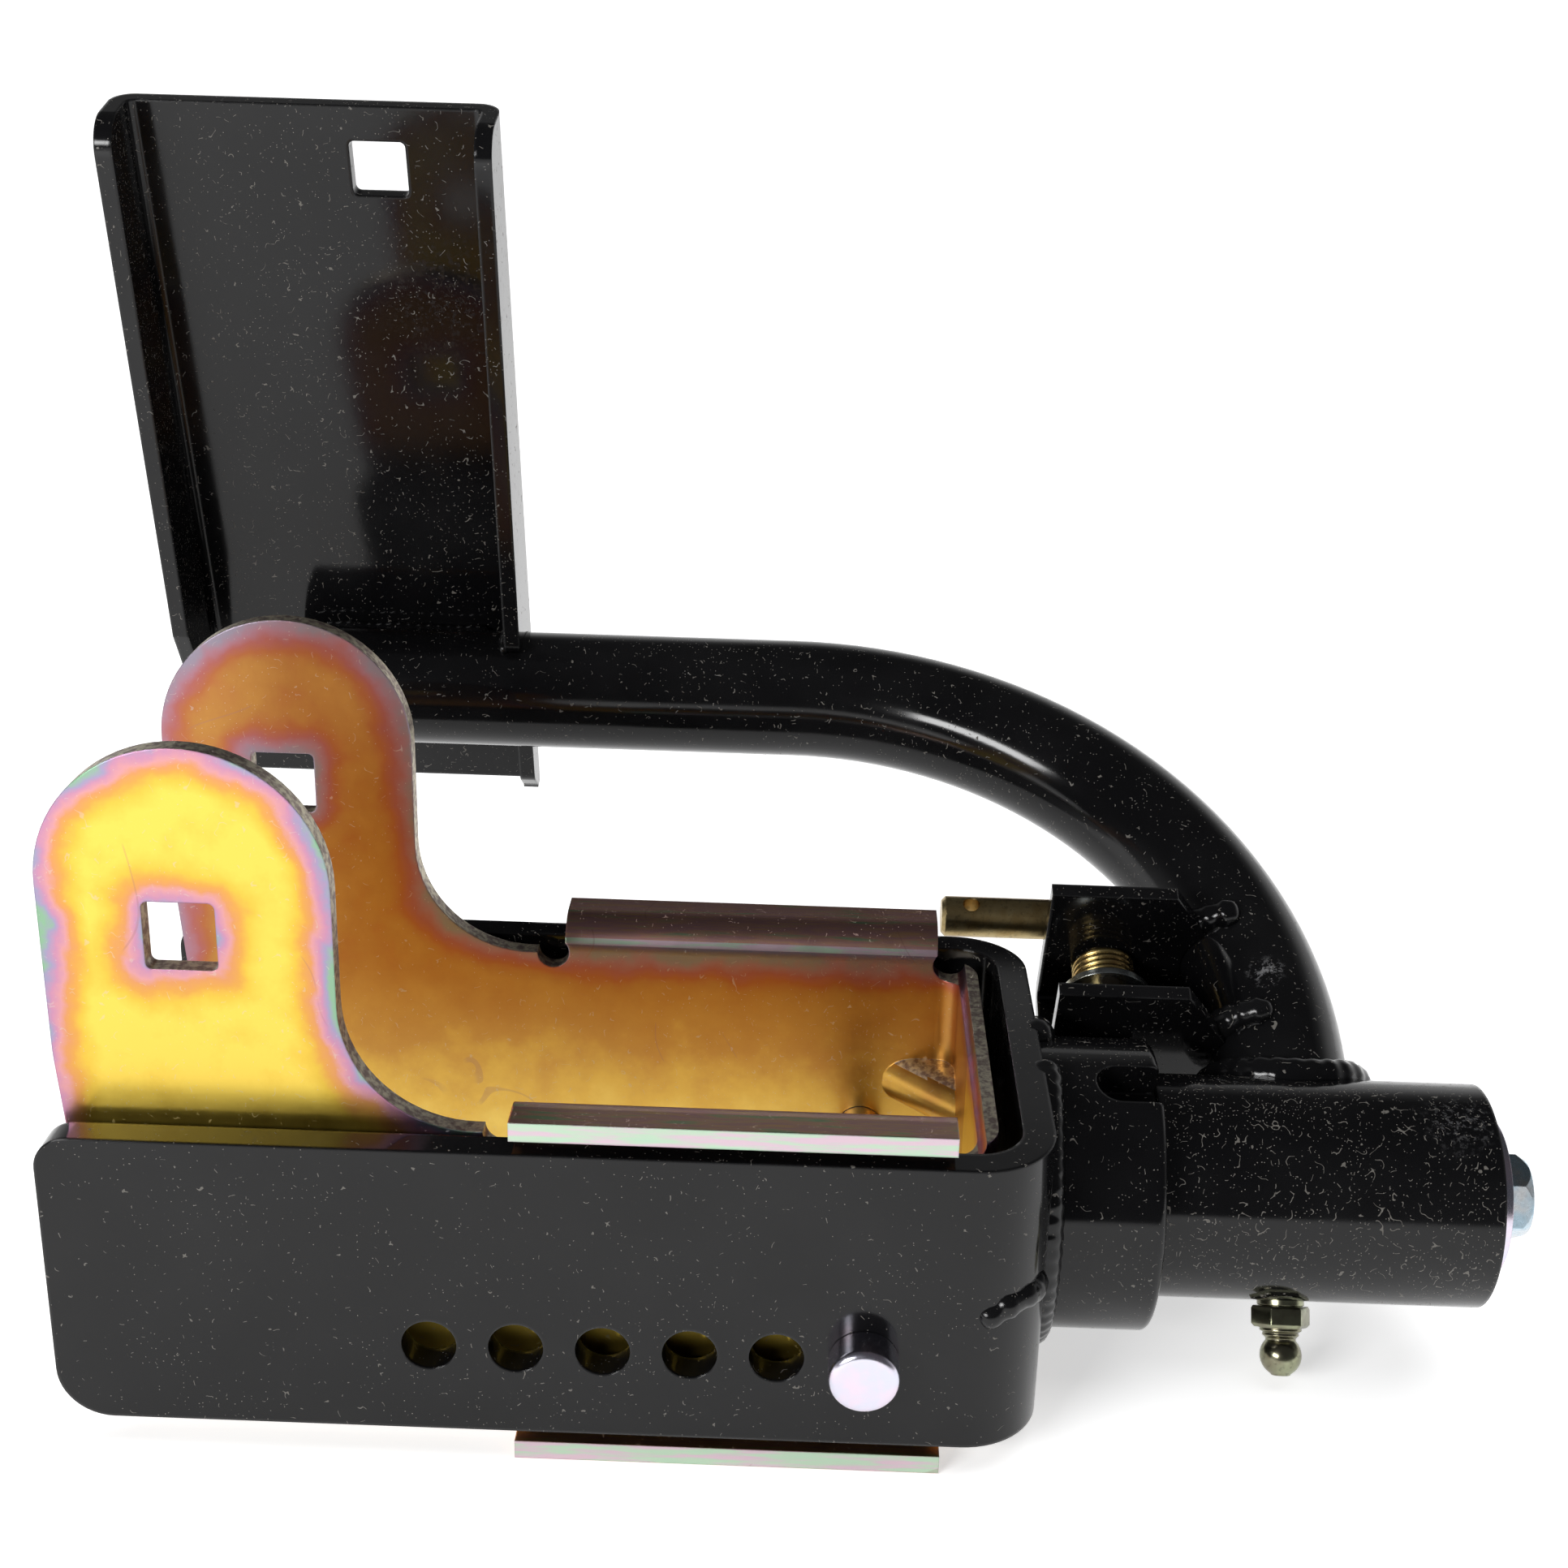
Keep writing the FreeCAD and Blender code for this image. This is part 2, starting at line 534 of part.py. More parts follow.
def make_end_fixings():
    """The washer that keeps the sleeve on, and its bolt."""
    face = size("spindle_end")
    disc = doc.addObject("Part::Cylinder", "washer_disc")
    bind(disc, Radius="<<sizes>>.washer_dia / 2", Height="<<sizes>>.washer_thick")
    eye = doc.addObject("Part::Cylinder", "washer_eye")
    bind(eye, Radius="<<sizes>>.bolt_dia / 2 + 0.25", Height="<<sizes>>.washer_thick")
    washer = doc.addObject("Part::Cut", "end_washer")
    washer.Base, washer.Tool = disc, eye
    keep(washer, "end_washer", Placement(PIVOT + Vector(face, 0, 0), Rotation(Y_AXIS, 90)))

    corner = size("bolt_flats") / math.sqrt(3)
    seat = face + size("washer_thick")
    rim = [Vector(seat, corner * math.cos(a), corner * math.sin(a))
           for a in (math.radians(15 + 60 * k) for k in range(6))]
    head = Part.Face(Part.makePolygon(rim + rim[:1])).extrude(X_AXIS * size("bolt_head"))
    dome = Part.makeCone(corner * 1.35, corner * 0.86, size("bolt_head"), Vector(seat, 0, 0), X_AXIS)
    shank = rod_along(Vector(seat - size("bolt_length") + 2, 0, 0), X_AXIS, size("bolt_dia") / 2,
                      size("bolt_length") - 1)
    solid_feature("end_bolt", head.common(dome).fuse(shank), Placement(PIVOT, Rotation()))


def make_grease_nipple():
    """Threaded stem, hexagon, waisted neck and ball, turned about one axis."""
    wall = size("sleeve_dia") / 2
    ball = size("nipple_ball") / 2
    stem = Part.makeCylinder(3.2, 3.6, Vector(0, 0, wall - 3.6))
    collar = Part.makeCylinder(3.75, 0.8, Vector(0, 0, wall))
    corner = size("nipple_flats") / math.sqrt(3)
    base = wall + 0.8
    rim = [Vector(corner * math.cos(a), corner * math.sin(a), base)
           for a in (math.radians(60 * k) for k in range(6))]
    hexagon = Part.Face(Part.makePolygon(rim + rim[:1])).extrude(Z_AXIS * 3.2)
    neck = Part.makeCone(3.2, 2.4, 2.4, Vector(0, 0, base + 3.2))
    head = Part.makeSphere(ball, Vector(0, 0, base + 3.2 + 2.2 + ball * 0.65))
    flat = Part.makeBox(20, 20, 10, Vector(-10, -10, base + 3.2 + 2.2 + ball * 1.45))
    body = stem.fuse([collar, hexagon, neck, head]).cut(flat)
    spot = PIVOT + Vector(size("nipple_x"), 0, 0)
    solid_feature("grease_nipple", body, Placement(spot, Rotation(X_AXIS, 180 - size("nipple_angle"))))


# ---- swing arm, drawn standing straight up from the pivot ------------------------------------------------

def arm_path():
    """Centre line of the tube: up from the sleeve, round the bend, along to its open end."""
    x, reach, bend = size("arm_root_x"), size("arm_reach"), size("arm_bend")
    foot = Vector(x, 0, 8)
    knee = Vector(x, 0, reach - bend)
    turn = Vector(x - bend * (1 - math.cos(math.pi / 4)), 0, reach - bend + bend * math.sin(math.pi / 4))
    level = Vector(x - bend, 0, reach)
    return Part.Wire([
        Part.LineSegment(foot, knee).toShape(),
        Part.Arc(knee, turn, level).toShape(),
        Part.LineSegment(level, Vector(size("arm_end"), 0, reach)).toShape(),
    ])


def swept_tube(radius):
    start = Vector(size("arm_root_x"), 0, 8)
    section = Part.Wire([Part.Circle(start, Z_AXIS, radius).toShape()])
    return arm_path().makePipeShell([section], True, True)


def make_arm_tube():
    outer = size("tube_dia") / 2
    saddle = rod_along(Vector(0, 0, 0), X_AXIS, size("sleeve_dia") / 2, 140)
    tube = swept_tube(outer).cut(swept_tube(outer - size("tube_wall"))).cut(saddle)
    solid_feature("arm_tube", tube, ARM_FRAME)


def make_arm_weld():
    """The fillet where the tube stands on the sleeve: near both surfaces, inside neither."""
    leg = size("weld_leg")
    x = size("arm_root_x")
    outer, sleeve = size("tube_dia") / 2, size("sleeve_dia") / 2
    near_tube = Part.makeCylinder(outer + leg, 40, Vector(x, 0, 0), Z_AXIS)
    near_sleeve = rod_along(Vector(x - 25, 0, 0), X_AXIS, sleeve + leg, 50)
    bead = near_tube.common(near_sleeve)
    bead = bead.cut(Part.makeCylinder(outer, 60, Vector(x, 0, -10), Z_AXIS))
    bead = bead.cut(rod_along(Vector(x - 30, 0, 0), X_AXIS, sleeve, 60))
    solid_feature("arm_weld", bead, ARM_FRAME)


def make_upright():
    """The folded upright: a web behind the tube with a tapered flange on each side."""
    left, right, plate = size("upright_left"), size("upright_right"), size("upright_plate")
    top, foot, bend = size("upright_top"), size("upright_foot"), size("upright_bend")
    reach, radius = size("arm_reach"), size("tube_dia") / 2
    face = reach + radius
    back = face + plate
    deep_top, deep_low, corner = size("flange_top"), size("flange_low"), size("flange_corner")
    deepest = face - deep_low - 4.0
    body = doc.addObject("PartDesign::Body", "upright_channel")

    section = new_sketch(body, "folded_section", "XZ_Plane", -foot)
    draw(section, [
        (left, deepest, 0), (left, back, bend), (right, back, bend), (right, deepest, 0),
        (right - plate, deepest, 0), (right - plate, face, bend - plate + 0.4),
        (left + plate, face, bend - plate + 0.4), (left + plate, deepest, 0),
    ])
    pad(body, section, "folded_sheet", "<<sizes>>.upright_top + <<sizes>>.upright_foot")

    taper = new_sketch(body, "flange_taper", "YZ_Plane")
    draw(taper, [
        (-top - 5, deepest - 5, 0), (foot + 5, deepest - 5, 0), (foot + 5, face - 3.5, 0),
        (foot - 0.5, face - 3.5, 2.0), (foot - 5, face - 7.5, 3.0), (radius + 1.0, face - 8.0, 0),
        (-radius - 1.5, face - deep_low, 0),
        (-top, face - deep_top, corner), (-top, back - 2.0, 0), (-top - 5, back - 2.0, 0),
    ])
    cut_through(body, taper, "flange_taper_cut")

    notch = new_sketch(body, "tube_notch", "YZ_Plane", right - plate - 2)
    draw(notch, [
        (-radius - 0.2, deepest - 5, 0), (radius + 0.2, deepest - 5, 0), (radius + 0.2, face - 0.1, radius + 0.1),
        (-radius - 0.2, face - 0.1, radius + 0.1),
    ])
    cut_part(body, notch, "tube_notch_cut", plate + 4)

    short = new_sketch(body, "left_flange_end", "YZ_Plane", left - 1)
    draw(short, [
        (9.0, face - 3.0, 4.0), (9.0, back + 3, 0), (foot + 5, back + 3, 0), (foot + 5, deepest - 5, 0),
        (0.0, deepest - 5, 0),
    ])
    cut_part(body, short, "left_flange_end_cut", plate + 4)

    half = size("upright_hole") / 2
    window = new_sketch(body, "upright_hole_outline", "XY_Plane")
    draw(window, [(size("upright_hole_x") + dx * half, -size("upright_hole_up") + dy * half, 1.0)
                  for dx, dy in ((-1, -1), (1, -1), (1, 1), (-1, 1))])
    cut_through(body, window, "upright_hole_cut")
    keep(body, "upright_channel", UPRIGHT_FRAME)


def make_upright_welds():
    """Beads along the tube's line of contact with the web, and round it at the flange."""
    reach, radius = size("arm_reach"), size("tube_dia") / 2
    face = reach + radius
    tube = rod_along(Vector(-200, 0, reach), X_AXIS, radius, 260)
    leg = size("weld_leg") + 1.5
    start, length = size("arm_end") + 2, 36.0
    beads = []
    for side in (-1, 1):
        strip = Part.makeBox(length, leg, leg, Vector(start, min(side * leg, side * 2 * leg), face - leg))
        beads.append(strip.cut(tube))
    wall = size("upright_right")
    ring = rod_along(Vector(wall, 0, reach), X_AXIS, radius + 2.2, 2.2)
    ring = ring.cut(tube)
    keep_side = Part.makeBox(10, 60, 20, Vector(wall - 1, -30, reach - 2))
    beads.append(ring.common(keep_side))
    solid_feature("upright_welds", Part.makeCompound(beads), UPRIGHT_FRAME)


# ---- lock housing and lock pin, in the same standing frame -----------------------------------------------

def make_lock_housing():
    """A U of sheet, open at the front, its plates square to the lock pin, cut to sit on the tube."""
    left, right = size("housing_left"), size("housing_right")
    low, high, plate = size("housing_low"), size("housing_high"), size("housing_plate")
    front, back, bend = -size("housing_front"), size("housing_back"), size("housing_bend")
    section = flat_face([
        (front, low, 0), (back, low, bend), (back, high, bend), (front, high, 0),
        (front, high - plate, 0), (back - plate, high - plate, bend - plate),
        (back - plate, low + plate, bend - plate), (front, low + plate, 0),
    ])
    section.transformShape(FreeCAD.Matrix(0, 0, 1, left, 1, 0, 0, 0, 0, 1, 0, 0, 0, 0, 0, 1))
    block = section.extrude(X_AXIS * (right - left))
    corner = flat_face([
        (size("housing_front_end"), front, 0), (right + 1, front, 0), (right + 1, -6.0, 0),
        (size("housing_corner_end"), -6.0, 0),
    ])
    block = block.cut(corner.extrude(Z_AXIS * (high + 5)))
    block = block.cut(swept_tube(size("tube_dia") / 2))
    block = max(block.Solids, key=lambda solid: solid.Volume)
    pin_room = size("lock_dia") / 2 + size("lock_play")
    block = block.cut(Part.makeCylinder(pin_room, 60, Vector(size("lock_x"), 0, 10), Z_AXIS))
    solid_feature("lock_housing", block, ARM_FRAME)


def make_housing_welds():
    """A bead along each plate where it meets the tube."""
    tube = swept_tube(size("tube_dia") / 2)
    thick = swept_tube(size("tube_dia") / 2 + 2.4)
    beads = []
    for level in (size("housing_low") + size("housing_plate"), size("housing_high")):
        slab = Part.makeBox(18, 20, 2.4, Vector(size("lock_x") + 3, -14, level))
        beads.extend(slab.common(thick).cut(tube).Solids)
    solid_feature("housing_welds", Part.makeCompound(beads), ARM_FRAME)


def make_lock_pin():
    """A round rod bent into an L: the shaft down to the collar, the handle out to the left."""
    x, radius = size("lock_x"), size("lock_dia") / 2
    tip, level, bend = size("lock_tip"), size("lock_handle"), size("lock_bend")
    foot = Vector(x, 0, tip)
    knee = Vector(x, 0, level - bend)
    turn = Vector(x - bend * (1 - math.cos(math.pi / 4)), 0, level - bend + bend * math.sin(math.pi / 4))
    path = Part.Wire([
        Part.LineSegment(foot, knee).toShape(),
        Part.Arc(knee, turn, Vector(x - bend, 0, level)).toShape(),
        Part.LineSegment(Vector(x - bend, 0, level), Vector(size("lock_handle_end"), 0, level)).toShape(),
    ])
    section = Part.Wire([Part.Circle(foot, Z_AXIS, radius).toShape()])
    rod = path.makePipeShell([section], True, True)
    ends = [edge for edge in rod.Edges if edge.Closed and
            (abs(edge.CenterOfMass.z - tip) < 0.01 or abs(edge.CenterOfMass.x - size("lock_handle_end")) < 0.01)]
    rod = rod.makeChamfer(0.7, ends)
    rod = rod.cut(rod_along(Vector(size("lock_handle_end") + 5.2, -10, level), Y_AXIS, size("lock_hole") / 2, 20))
    rod = rod.cut(rod_along(Vector(x, -10, size("roll_pin_at")), Y_AXIS, size("roll_pin_dia") / 2, 20))
    solid_feature("lock_pin", rod, ARM_FRAME)


def make_lock_fittings():
    """The washer that the spring bears on, the roll pin under it, and the spring."""
    x = size("lock_x")
    seat = size("roll_pin_at") + size("roll_pin_dia") / 2
    disc = Part.makeCylinder(size("lock_washer_dia") / 2, size("lock_washer_thick"), Vector(x, 0, seat))
    disc = disc.cut(Part.makeCylinder(size("lock_dia") / 2 + 0.02, 4, Vector(x, 0, seat - 1)))
    solid_feature("lock_washer", disc, ARM_FRAME)

    half = size("roll_pin_length") / 2
    solid_feature("roll_pin", rod_along(Vector(x, -half, size("roll_pin_at")), Y_AXIS,
                                        size("roll_pin_dia") / 2, 2 * half), ARM_FRAME)

    wire, turns = size("spring_wire"), size("spring_turns")
    low = seat + size("lock_washer_thick") + wire / 2 + 0.05
    high = size("housing_high") - size("housing_plate") - wire / 2 - 0.05
    mean = (size("spring_dia") - wire) / 2
    helix = Part.makeHelix((high - low) / turns, high - low, mean)
    section = Part.Wire([Part.Circle(Vector(mean, 0, 0), Y_AXIS, wire / 2).toShape()])
    coil = Part.Wire(helix.Edges).makePipeShell([section], True, True)
    feature = doc.addObject("Part::Feature", "lock_spring")
    feature.Shape = coil
    keep(feature, "lock_spring", ARM_FRAME.multiply(Placement(Vector(x, 0, low), Rotation())))


# ---- welds on the bracket -------------------------------------------------------------------------------

def make_collar_weld():
    """A fillet all round the collar on the end plate."""
    leg = size("weld_leg")
    radius = size("collar_dia") / 2
    low = size("pivot_height") - size("bracket_bottom")
    cone = Part.makeCone(radius + leg, radius, leg, Vector(size("bracket_right"), 0, 0), X_AXIS)
    bead = cone.cut(rod_along(Vector(0, 0, 0), X_AXIS, radius, 60))
    window = Part.makeBox(20, 80, size("bracket_height") + 2.0, Vector(20, -40, -low - 1.0))
    solid_feature("collar_weld", bead.common(window), Placement(PIVOT, Rotation()))


make_outer_bracket()
make_slide_channel()
make_clevis_pin()
make_pin_clip()
make_lock_collar()
make_collar_weld()
make_spindle()
make_sleeve()
make_bushes()
make_end_fixings()
make_grease_nipple()
make_arm_tube()
make_arm_weld()
make_upright()
make_upright_welds()
make_lock_housing()
make_housing_welds()
make_lock_pin()
make_lock_fittings()

doc.recompute()
for item in doc.Objects:
    if "Invalid" in item.State or "Error" in item.State:
        raise RuntimeError(f"{item.Label} failed to compute: {item.State}")
os.makedirs("parts", exist_ok=True)
for piece in SUB_PARTS:
    if piece.Shape.isNull() or not piece.Shape.isValid():
        raise RuntimeError(f"{piece.Label} has no valid shape")
for piece in SUB_PARTS:
    piece.Shape.exportStep(f"parts/{piece.Label}.step")
    print(f"{piece.Label}: {piece.Shape.Volume:.0f} mm3, {len(piece.Shape.Solids)} solid(s)")
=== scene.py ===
"""Swing-arm bracket with a spring lock pin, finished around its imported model.

Metres throughout, in the model's own frame: +Z up, X along the bracket and its pivot, Y across it,
the origin on the clevis pin's axis in the outer face of the near side plate.
"""
import math
import random

import bmesh
import bpy
from mathutils import Matrix, Vector


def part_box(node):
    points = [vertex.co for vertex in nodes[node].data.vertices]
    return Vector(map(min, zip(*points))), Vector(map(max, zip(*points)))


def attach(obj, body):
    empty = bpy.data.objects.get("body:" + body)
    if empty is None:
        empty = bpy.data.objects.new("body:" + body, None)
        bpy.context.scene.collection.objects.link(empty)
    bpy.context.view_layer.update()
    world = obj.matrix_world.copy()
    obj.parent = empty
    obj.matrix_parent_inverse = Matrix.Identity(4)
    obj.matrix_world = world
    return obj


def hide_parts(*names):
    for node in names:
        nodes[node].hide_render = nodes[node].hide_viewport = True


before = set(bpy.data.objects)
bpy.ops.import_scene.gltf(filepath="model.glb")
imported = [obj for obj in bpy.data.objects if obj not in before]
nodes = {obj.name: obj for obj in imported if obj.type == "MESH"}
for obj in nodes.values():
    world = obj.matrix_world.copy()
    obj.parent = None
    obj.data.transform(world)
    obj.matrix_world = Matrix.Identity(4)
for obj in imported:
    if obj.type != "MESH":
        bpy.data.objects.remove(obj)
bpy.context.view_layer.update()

# ---- table, camera and studio light ---------------------------------------------------------------------
# The bracket stands on its folded lips on a plain white table. A soft overhead wash lights the table,
# one low softbox stands to the left, and the white of the room ends a little above the table's far edge.

table_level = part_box("slide_channel")[0].z


def paint(red, green, blue):
    """A colour given as on a colour card, 0 to 255, as the light values a shader takes."""
    shades = [(part / 255) for part in (red, green, blue)]
    return tuple(s / 12.92 if s < 0.04045 else ((s + 0.055) / 1.055) ** 2.4 for s in shades) + (1.0,)


def add(tree, kind, inputs=None, **settings):
    """Put one node in a tree; each input takes a number, a colour or another node's output."""
    made = tree.nodes.new("ShaderNode" + kind)
    for key, value in settings.items():
        setattr(made, key, value)
    for key, value in (inputs or {}).items():
        if isinstance(value, bpy.types.NodeSocket):
            tree.links.new(value, made.inputs[key])
        else:
            made.inputs[key].default_value = value
    return made


def mixed(tree, amount, under, over):
    """Lay one colour over another by an amount."""
    layer = add(tree, "Mix", data_type="RGBA")
    colours = [s for s in layer.inputs if s.type == "RGBA"]
    for socket, value in zip([layer.inputs[0]] + colours, (amount, under, over)):
        if isinstance(value, bpy.types.NodeSocket):
            tree.links.new(value, socket)
        else:
            socket.default_value = value
    return [s for s in layer.outputs if s.type == "RGBA"][0]


def new_finish(name):
    """An empty finish: the material, its tree and its shader."""
    finish = bpy.data.materials.new(name)
    finish.use_nodes = True
    tree = finish.node_tree
    return finish, tree, tree.nodes["Principled BSDF"]


table_mesh = bpy.data.meshes.new("table")
reach = 40.0
table_corners = [(x * reach, y * reach, table_level - 0.0001)
                 for x, y in ((-1, -1), (1, -1), (1, 1), (-1, 1))]
table_mesh.from_pydata(table_corners, [], [(0, 1, 2, 3)])
table = bpy.data.objects.new("table", table_mesh)
bpy.context.collection.objects.link(table)
table_white, tree, shader = new_finish("table_white")
shader.inputs["Base Color"].default_value = (0.88, 0.88, 0.88, 1.0)
shader.inputs["Roughness"].default_value = 0.75
shader.inputs["Specular IOR Level"].default_value = 0.1
shader.inputs["Emission Color"].default_value = (1.0, 1.0, 1.0, 1.0)
shader.inputs["Emission Strength"].default_value = 0.58
table_mesh.materials.append(table_white)

camera_data = bpy.data.cameras.new("camera")
camera_data.sensor_width = 36.0
camera_data.lens = 49.16
camera_data.clip_start = 0.01
camera_data.clip_end = 200.0
camera = bpy.data.objects.new("camera", camera_data)
camera.matrix_world = Matrix((
    (0.999346, -0.033818, 0.012790, -0.010444),
    (0.024077, 0.358560, -0.933192, -0.261080),
    (0.026973, 0.932890, 0.359140, 0.190071),
    (0.0, 0.0, 0.0, 1.0),
))
bpy.context.collection.objects.link(camera)
bpy.context.scene.camera = camera
bpy.context.scene.view_settings.view_transform = "Standard"

room = bpy.data.worlds.new("room")
room.use_nodes = True
bpy.context.scene.world = room
tree = room.node_tree
tree.nodes.clear()
way = add(tree, "TexCoord").outputs["Generated"]
parts = add(tree, "SeparateXYZ", {"Vector": way})
height = add(tree, "MapRange", {"Value": parts.outputs["Z"], "From Min": -0.02, "From Max": 0.75,
                                "To Min": 0.0, "To Max": 1.0}).outputs["Result"]
behind = add(tree, "ValToRGB", {"Fac": height})
for stop, (spot, level) in enumerate(((0.0, 0.90), (0.34, 0.70), (0.49, 0.50), (0.66, 0.20), (0.86, 0.05))):
    points = behind.color_ramp.elements
    point = points[stop] if stop < 2 else points.new(spot)
    point.position = spot
    point.color = (level, level, level, 1.0)
front = add(tree, "MapRange", {"Value": parts.outputs["Y"], "From Min": -0.35, "From Max": 0.45,
                               "To Min": 0.0, "To Max": 1.0}).outputs["Result"]
walls = mixed(tree, front, (0.07, 0.07, 0.075, 1.0), behind.outputs["Color"])
seen = add(tree, "LightPath").outputs["Is Camera Ray"]
plain = add(tree, "Background", {"Color": (0.93, 0.93, 0.94, 1.0), "Strength": 1.0})
lit = add(tree, "Background", {"Color": walls, "Strength": 1.0})
either = add(tree, "MixShader", {"Fac": seen})
tree.links.new(lit.outputs[0], either.inputs[1])
tree.links.new(plain.outputs[0], either.inputs[2])
world_out = add(tree, "OutputWorld")
tree.links.new(either.outputs[0], world_out.inputs["Surface"])


def softbox(name, heading, rise, distance, width, height, watts):
    """A flat lamp aimed at the bracket; heading from straight behind towards +X, rise above level."""
    heading, rise = math.radians(heading), math.radians(rise)
    aim = Vector((math.sin(heading) * math.cos(rise), math.cos(heading) * math.cos(rise), math.sin(rise)))
    lamp_data = bpy.data.lights.new(name, "AREA")
    lamp_data.shape = "RECTANGLE"
    lamp_data.size, lamp_data.size_y, lamp_data.energy = width, height, watts
    lamp = bpy.data.objects.new(name, lamp_data)
    lamp.location = Vector((0.0, 0.1, 0.04)) + aim * distance
    lamp.rotation_euler = aim.to_track_quat("Z", "Y").to_euler()
    bpy.context.collection.objects.link(lamp)
    return lamp


softbox("left_softbox", -142.0, 20.0, 1.1, 0.50, 0.20, 7.6)
wash_data = bpy.data.lights.new("overhead_wash", "SUN")
wash_data.energy = 1.75
wash_data.angle = math.radians(70)
wash = bpy.data.objects.new("overhead_wash", wash_data)
wash.rotation_euler = (math.radians(-12), math.radians(8), 0)
wash.visible_glossy = False
bpy.context.collection.objects.link(wash)

# ---- outer bracket --------------------------------------------------------------------------------------
# Flat steel bar bent twice into a U, with a row of adjusting holes in each side, powder coated gloss
# black. The coat has a faint orange peel, rounds over every edge, and lint and dust lie on it.


def sums(tree, operation, a, b=0.0, c=0.0, clamp=False):
    """One step of arithmetic between numbers or outputs."""
    step = add(tree, "Math", operation=operation, use_clamp=clamp)
    for socket, value in zip(step.inputs, (a, b, c)):
        if isinstance(value, bpy.types.NodeSocket):
            tree.links.new(value, socket)
        else:
            socket.default_value = value
    return step.outputs[0]


def grain(tree, place, scale, detail=2.0, rough=0.5, shift=0.0):
    """Soft random shading at a scale, in features per metre."""
    moved = add(tree, "VectorMath", {0: place, 1: (shift, shift * 1.7, -shift)}, operation="ADD").outputs[0]
    return add(tree, "TexNoise", {"Vector": moved, "Scale": scale, "Detail": detail,
                                  "Roughness": rough}).outputs["Fac"]


def step_up(tree, value, low, high):
    """0 below low, 1 above high, smooth between."""
    return add(tree, "MapRange", {"Value": value, "From Min": low, "From Max": high},
               interpolation_type="SMOOTHSTEP").outputs["Result"]


def lint(tree, place, amount, seed):
    """Short curled fibres and fine grit, as a mask; amount from 0 to 1."""
    wander = grain(tree, place, 420.0, 1.0, 0.4, seed)
    line = sums(tree, "COMPARE", wander, 0.5, 0.011)
    pieces = step_up(tree, grain(tree, place, 900.0, 0.0, 0.5, seed + 3.1), 0.72 - 0.16 * amount,
                     0.76 - 0.16 * amount)
    fibres = sums(tree, "MULTIPLY", line, pieces)
    crumbs = add(tree, "TexVoronoi", {"Vector": place, "Scale": 1900.0}, feature="F1")
    chosen = add(tree, "SeparateColor", {"Color": crumbs.outputs["Color"]}).outputs[0]
    crowd = grain(tree, place, 70.0, 2.0, 0.6, seed + 9.0)
    wanted = sums(tree, "ADD", sums(tree, "MULTIPLY", crowd, 0.5), sums(tree, "MULTIPLY", chosen, 0.5))
    grit = sums(tree, "MULTIPLY", sums(tree, "LESS_THAN", crumbs.outputs["Distance"], 0.17),
                step_up(tree, wanted, 0.74 - 0.28 * amount, 0.78 - 0.28 * amount))
    return sums(tree, "MAXIMUM", sums(tree, "MULTIPLY", fibres, 0.5), sums(tree, "MULTIPLY", grit, 0.65))


def black_coat(name, dust, seed, painted_shadow=None, rubbed=None):
    """Gloss black powder coat. The two patches are (centre, radius, strength): the first is a painted
    shadow, a duller, rougher patch standing in for shade; rubbed is worn coat.
    """
    finish, tree, shader = new_finish(name)
    place = add(tree, "TexCoord").outputs["Object"]
    cloud = grain(tree, place, 38.0, 3.0, 0.6, seed)
    deep_black, pale_black = (0.0030, 0.0030, 0.0034, 1), (0.0062, 0.0062, 0.0066, 1)
    colour = mixed(tree, step_up(tree, cloud, 0.35, 0.75), deep_black, pale_black)
    specks = lint(tree, place, dust, seed)
    rough = sums(tree, "ADD", sums(tree, "MULTIPLY", step_up(tree, cloud, 0.3, 0.8), 0.07), 0.085)
    # The first patch is painted shadow, a duller, rougher tint standing in for shade; the second is rubbed,
    # worn coat.
    for patch, tint in ((painted_shadow, (0.016, 0.016, 0.017, 1)), (rubbed, (0.16, 0.16, 0.165, 1))):
        if patch is None:
            continue
        centre, radius, strength = patch
        away = add(tree, "VectorMath", {0: place, 1: centre}, operation="DISTANCE").outputs["Value"]
        fray = sums(tree, "MULTIPLY", grain(tree, place, 260.0, 3.0, 0.7, seed + 5), radius)
        ragged = sums(tree, "ADD", away, fray)
        wear_and_shadow_breakup = step_up(tree, grain(tree, place, 850.0, 3.0, 0.8, seed + 7), 0.50, 0.62)
        spot = sums(tree, "MULTIPLY", step_up(tree, ragged, radius * 1.9, radius * 0.7), strength)
        spot = sums(tree, "MULTIPLY", spot, wear_and_shadow_breakup)
        colour = mixed(tree, spot, colour, tint)
        rough = sums(tree, "ADD", rough, sums(tree, "MULTIPLY", spot, 0.25), clamp=True)
    colour = mixed(tree, specks, colour, (0.24, 0.225, 0.20, 1))
    rough = sums(tree, "MAXIMUM", rough, specks)
    tree.links.new(colour, shader.inputs["Base Color"])
    tree.links.new(rough, shader.inputs["Roughness"])
    shader.inputs["IOR"].default_value = 1.38
    rolled = add(tree, "Bevel", {"Radius": 0.0007}, samples=6).outputs["Normal"]
    peel = grain(tree, place, 420.0, 2.0, 0.5, seed + 2)
    relief = sums(tree, "ADD", sums(tree, "MULTIPLY", peel, 0.12), specks)
    bump = add(tree, "Bump", {"Strength": 0.35, "Distance": 0.00012, "Height": relief, "Normal": rolled})
    tree.links.new(bump.outputs["Normal"], shader.inputs["Normal"])
    return finish


def dress(node, finish):
    """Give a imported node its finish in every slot."""
    slots = nodes[node].data.materials
    for number in range(len(slots)):
        slots[number] = finish


dress("outer_bracket", black_coat("bracket_coat", 0.25, 1.3))

# ---- weld bead across the bracket's near bend -----------------------------------------------------------
# The end of the collar's weld, run out over the near bend as one long drop of weld metal. It is
# steel wire melted on, smooth under the same black coat.


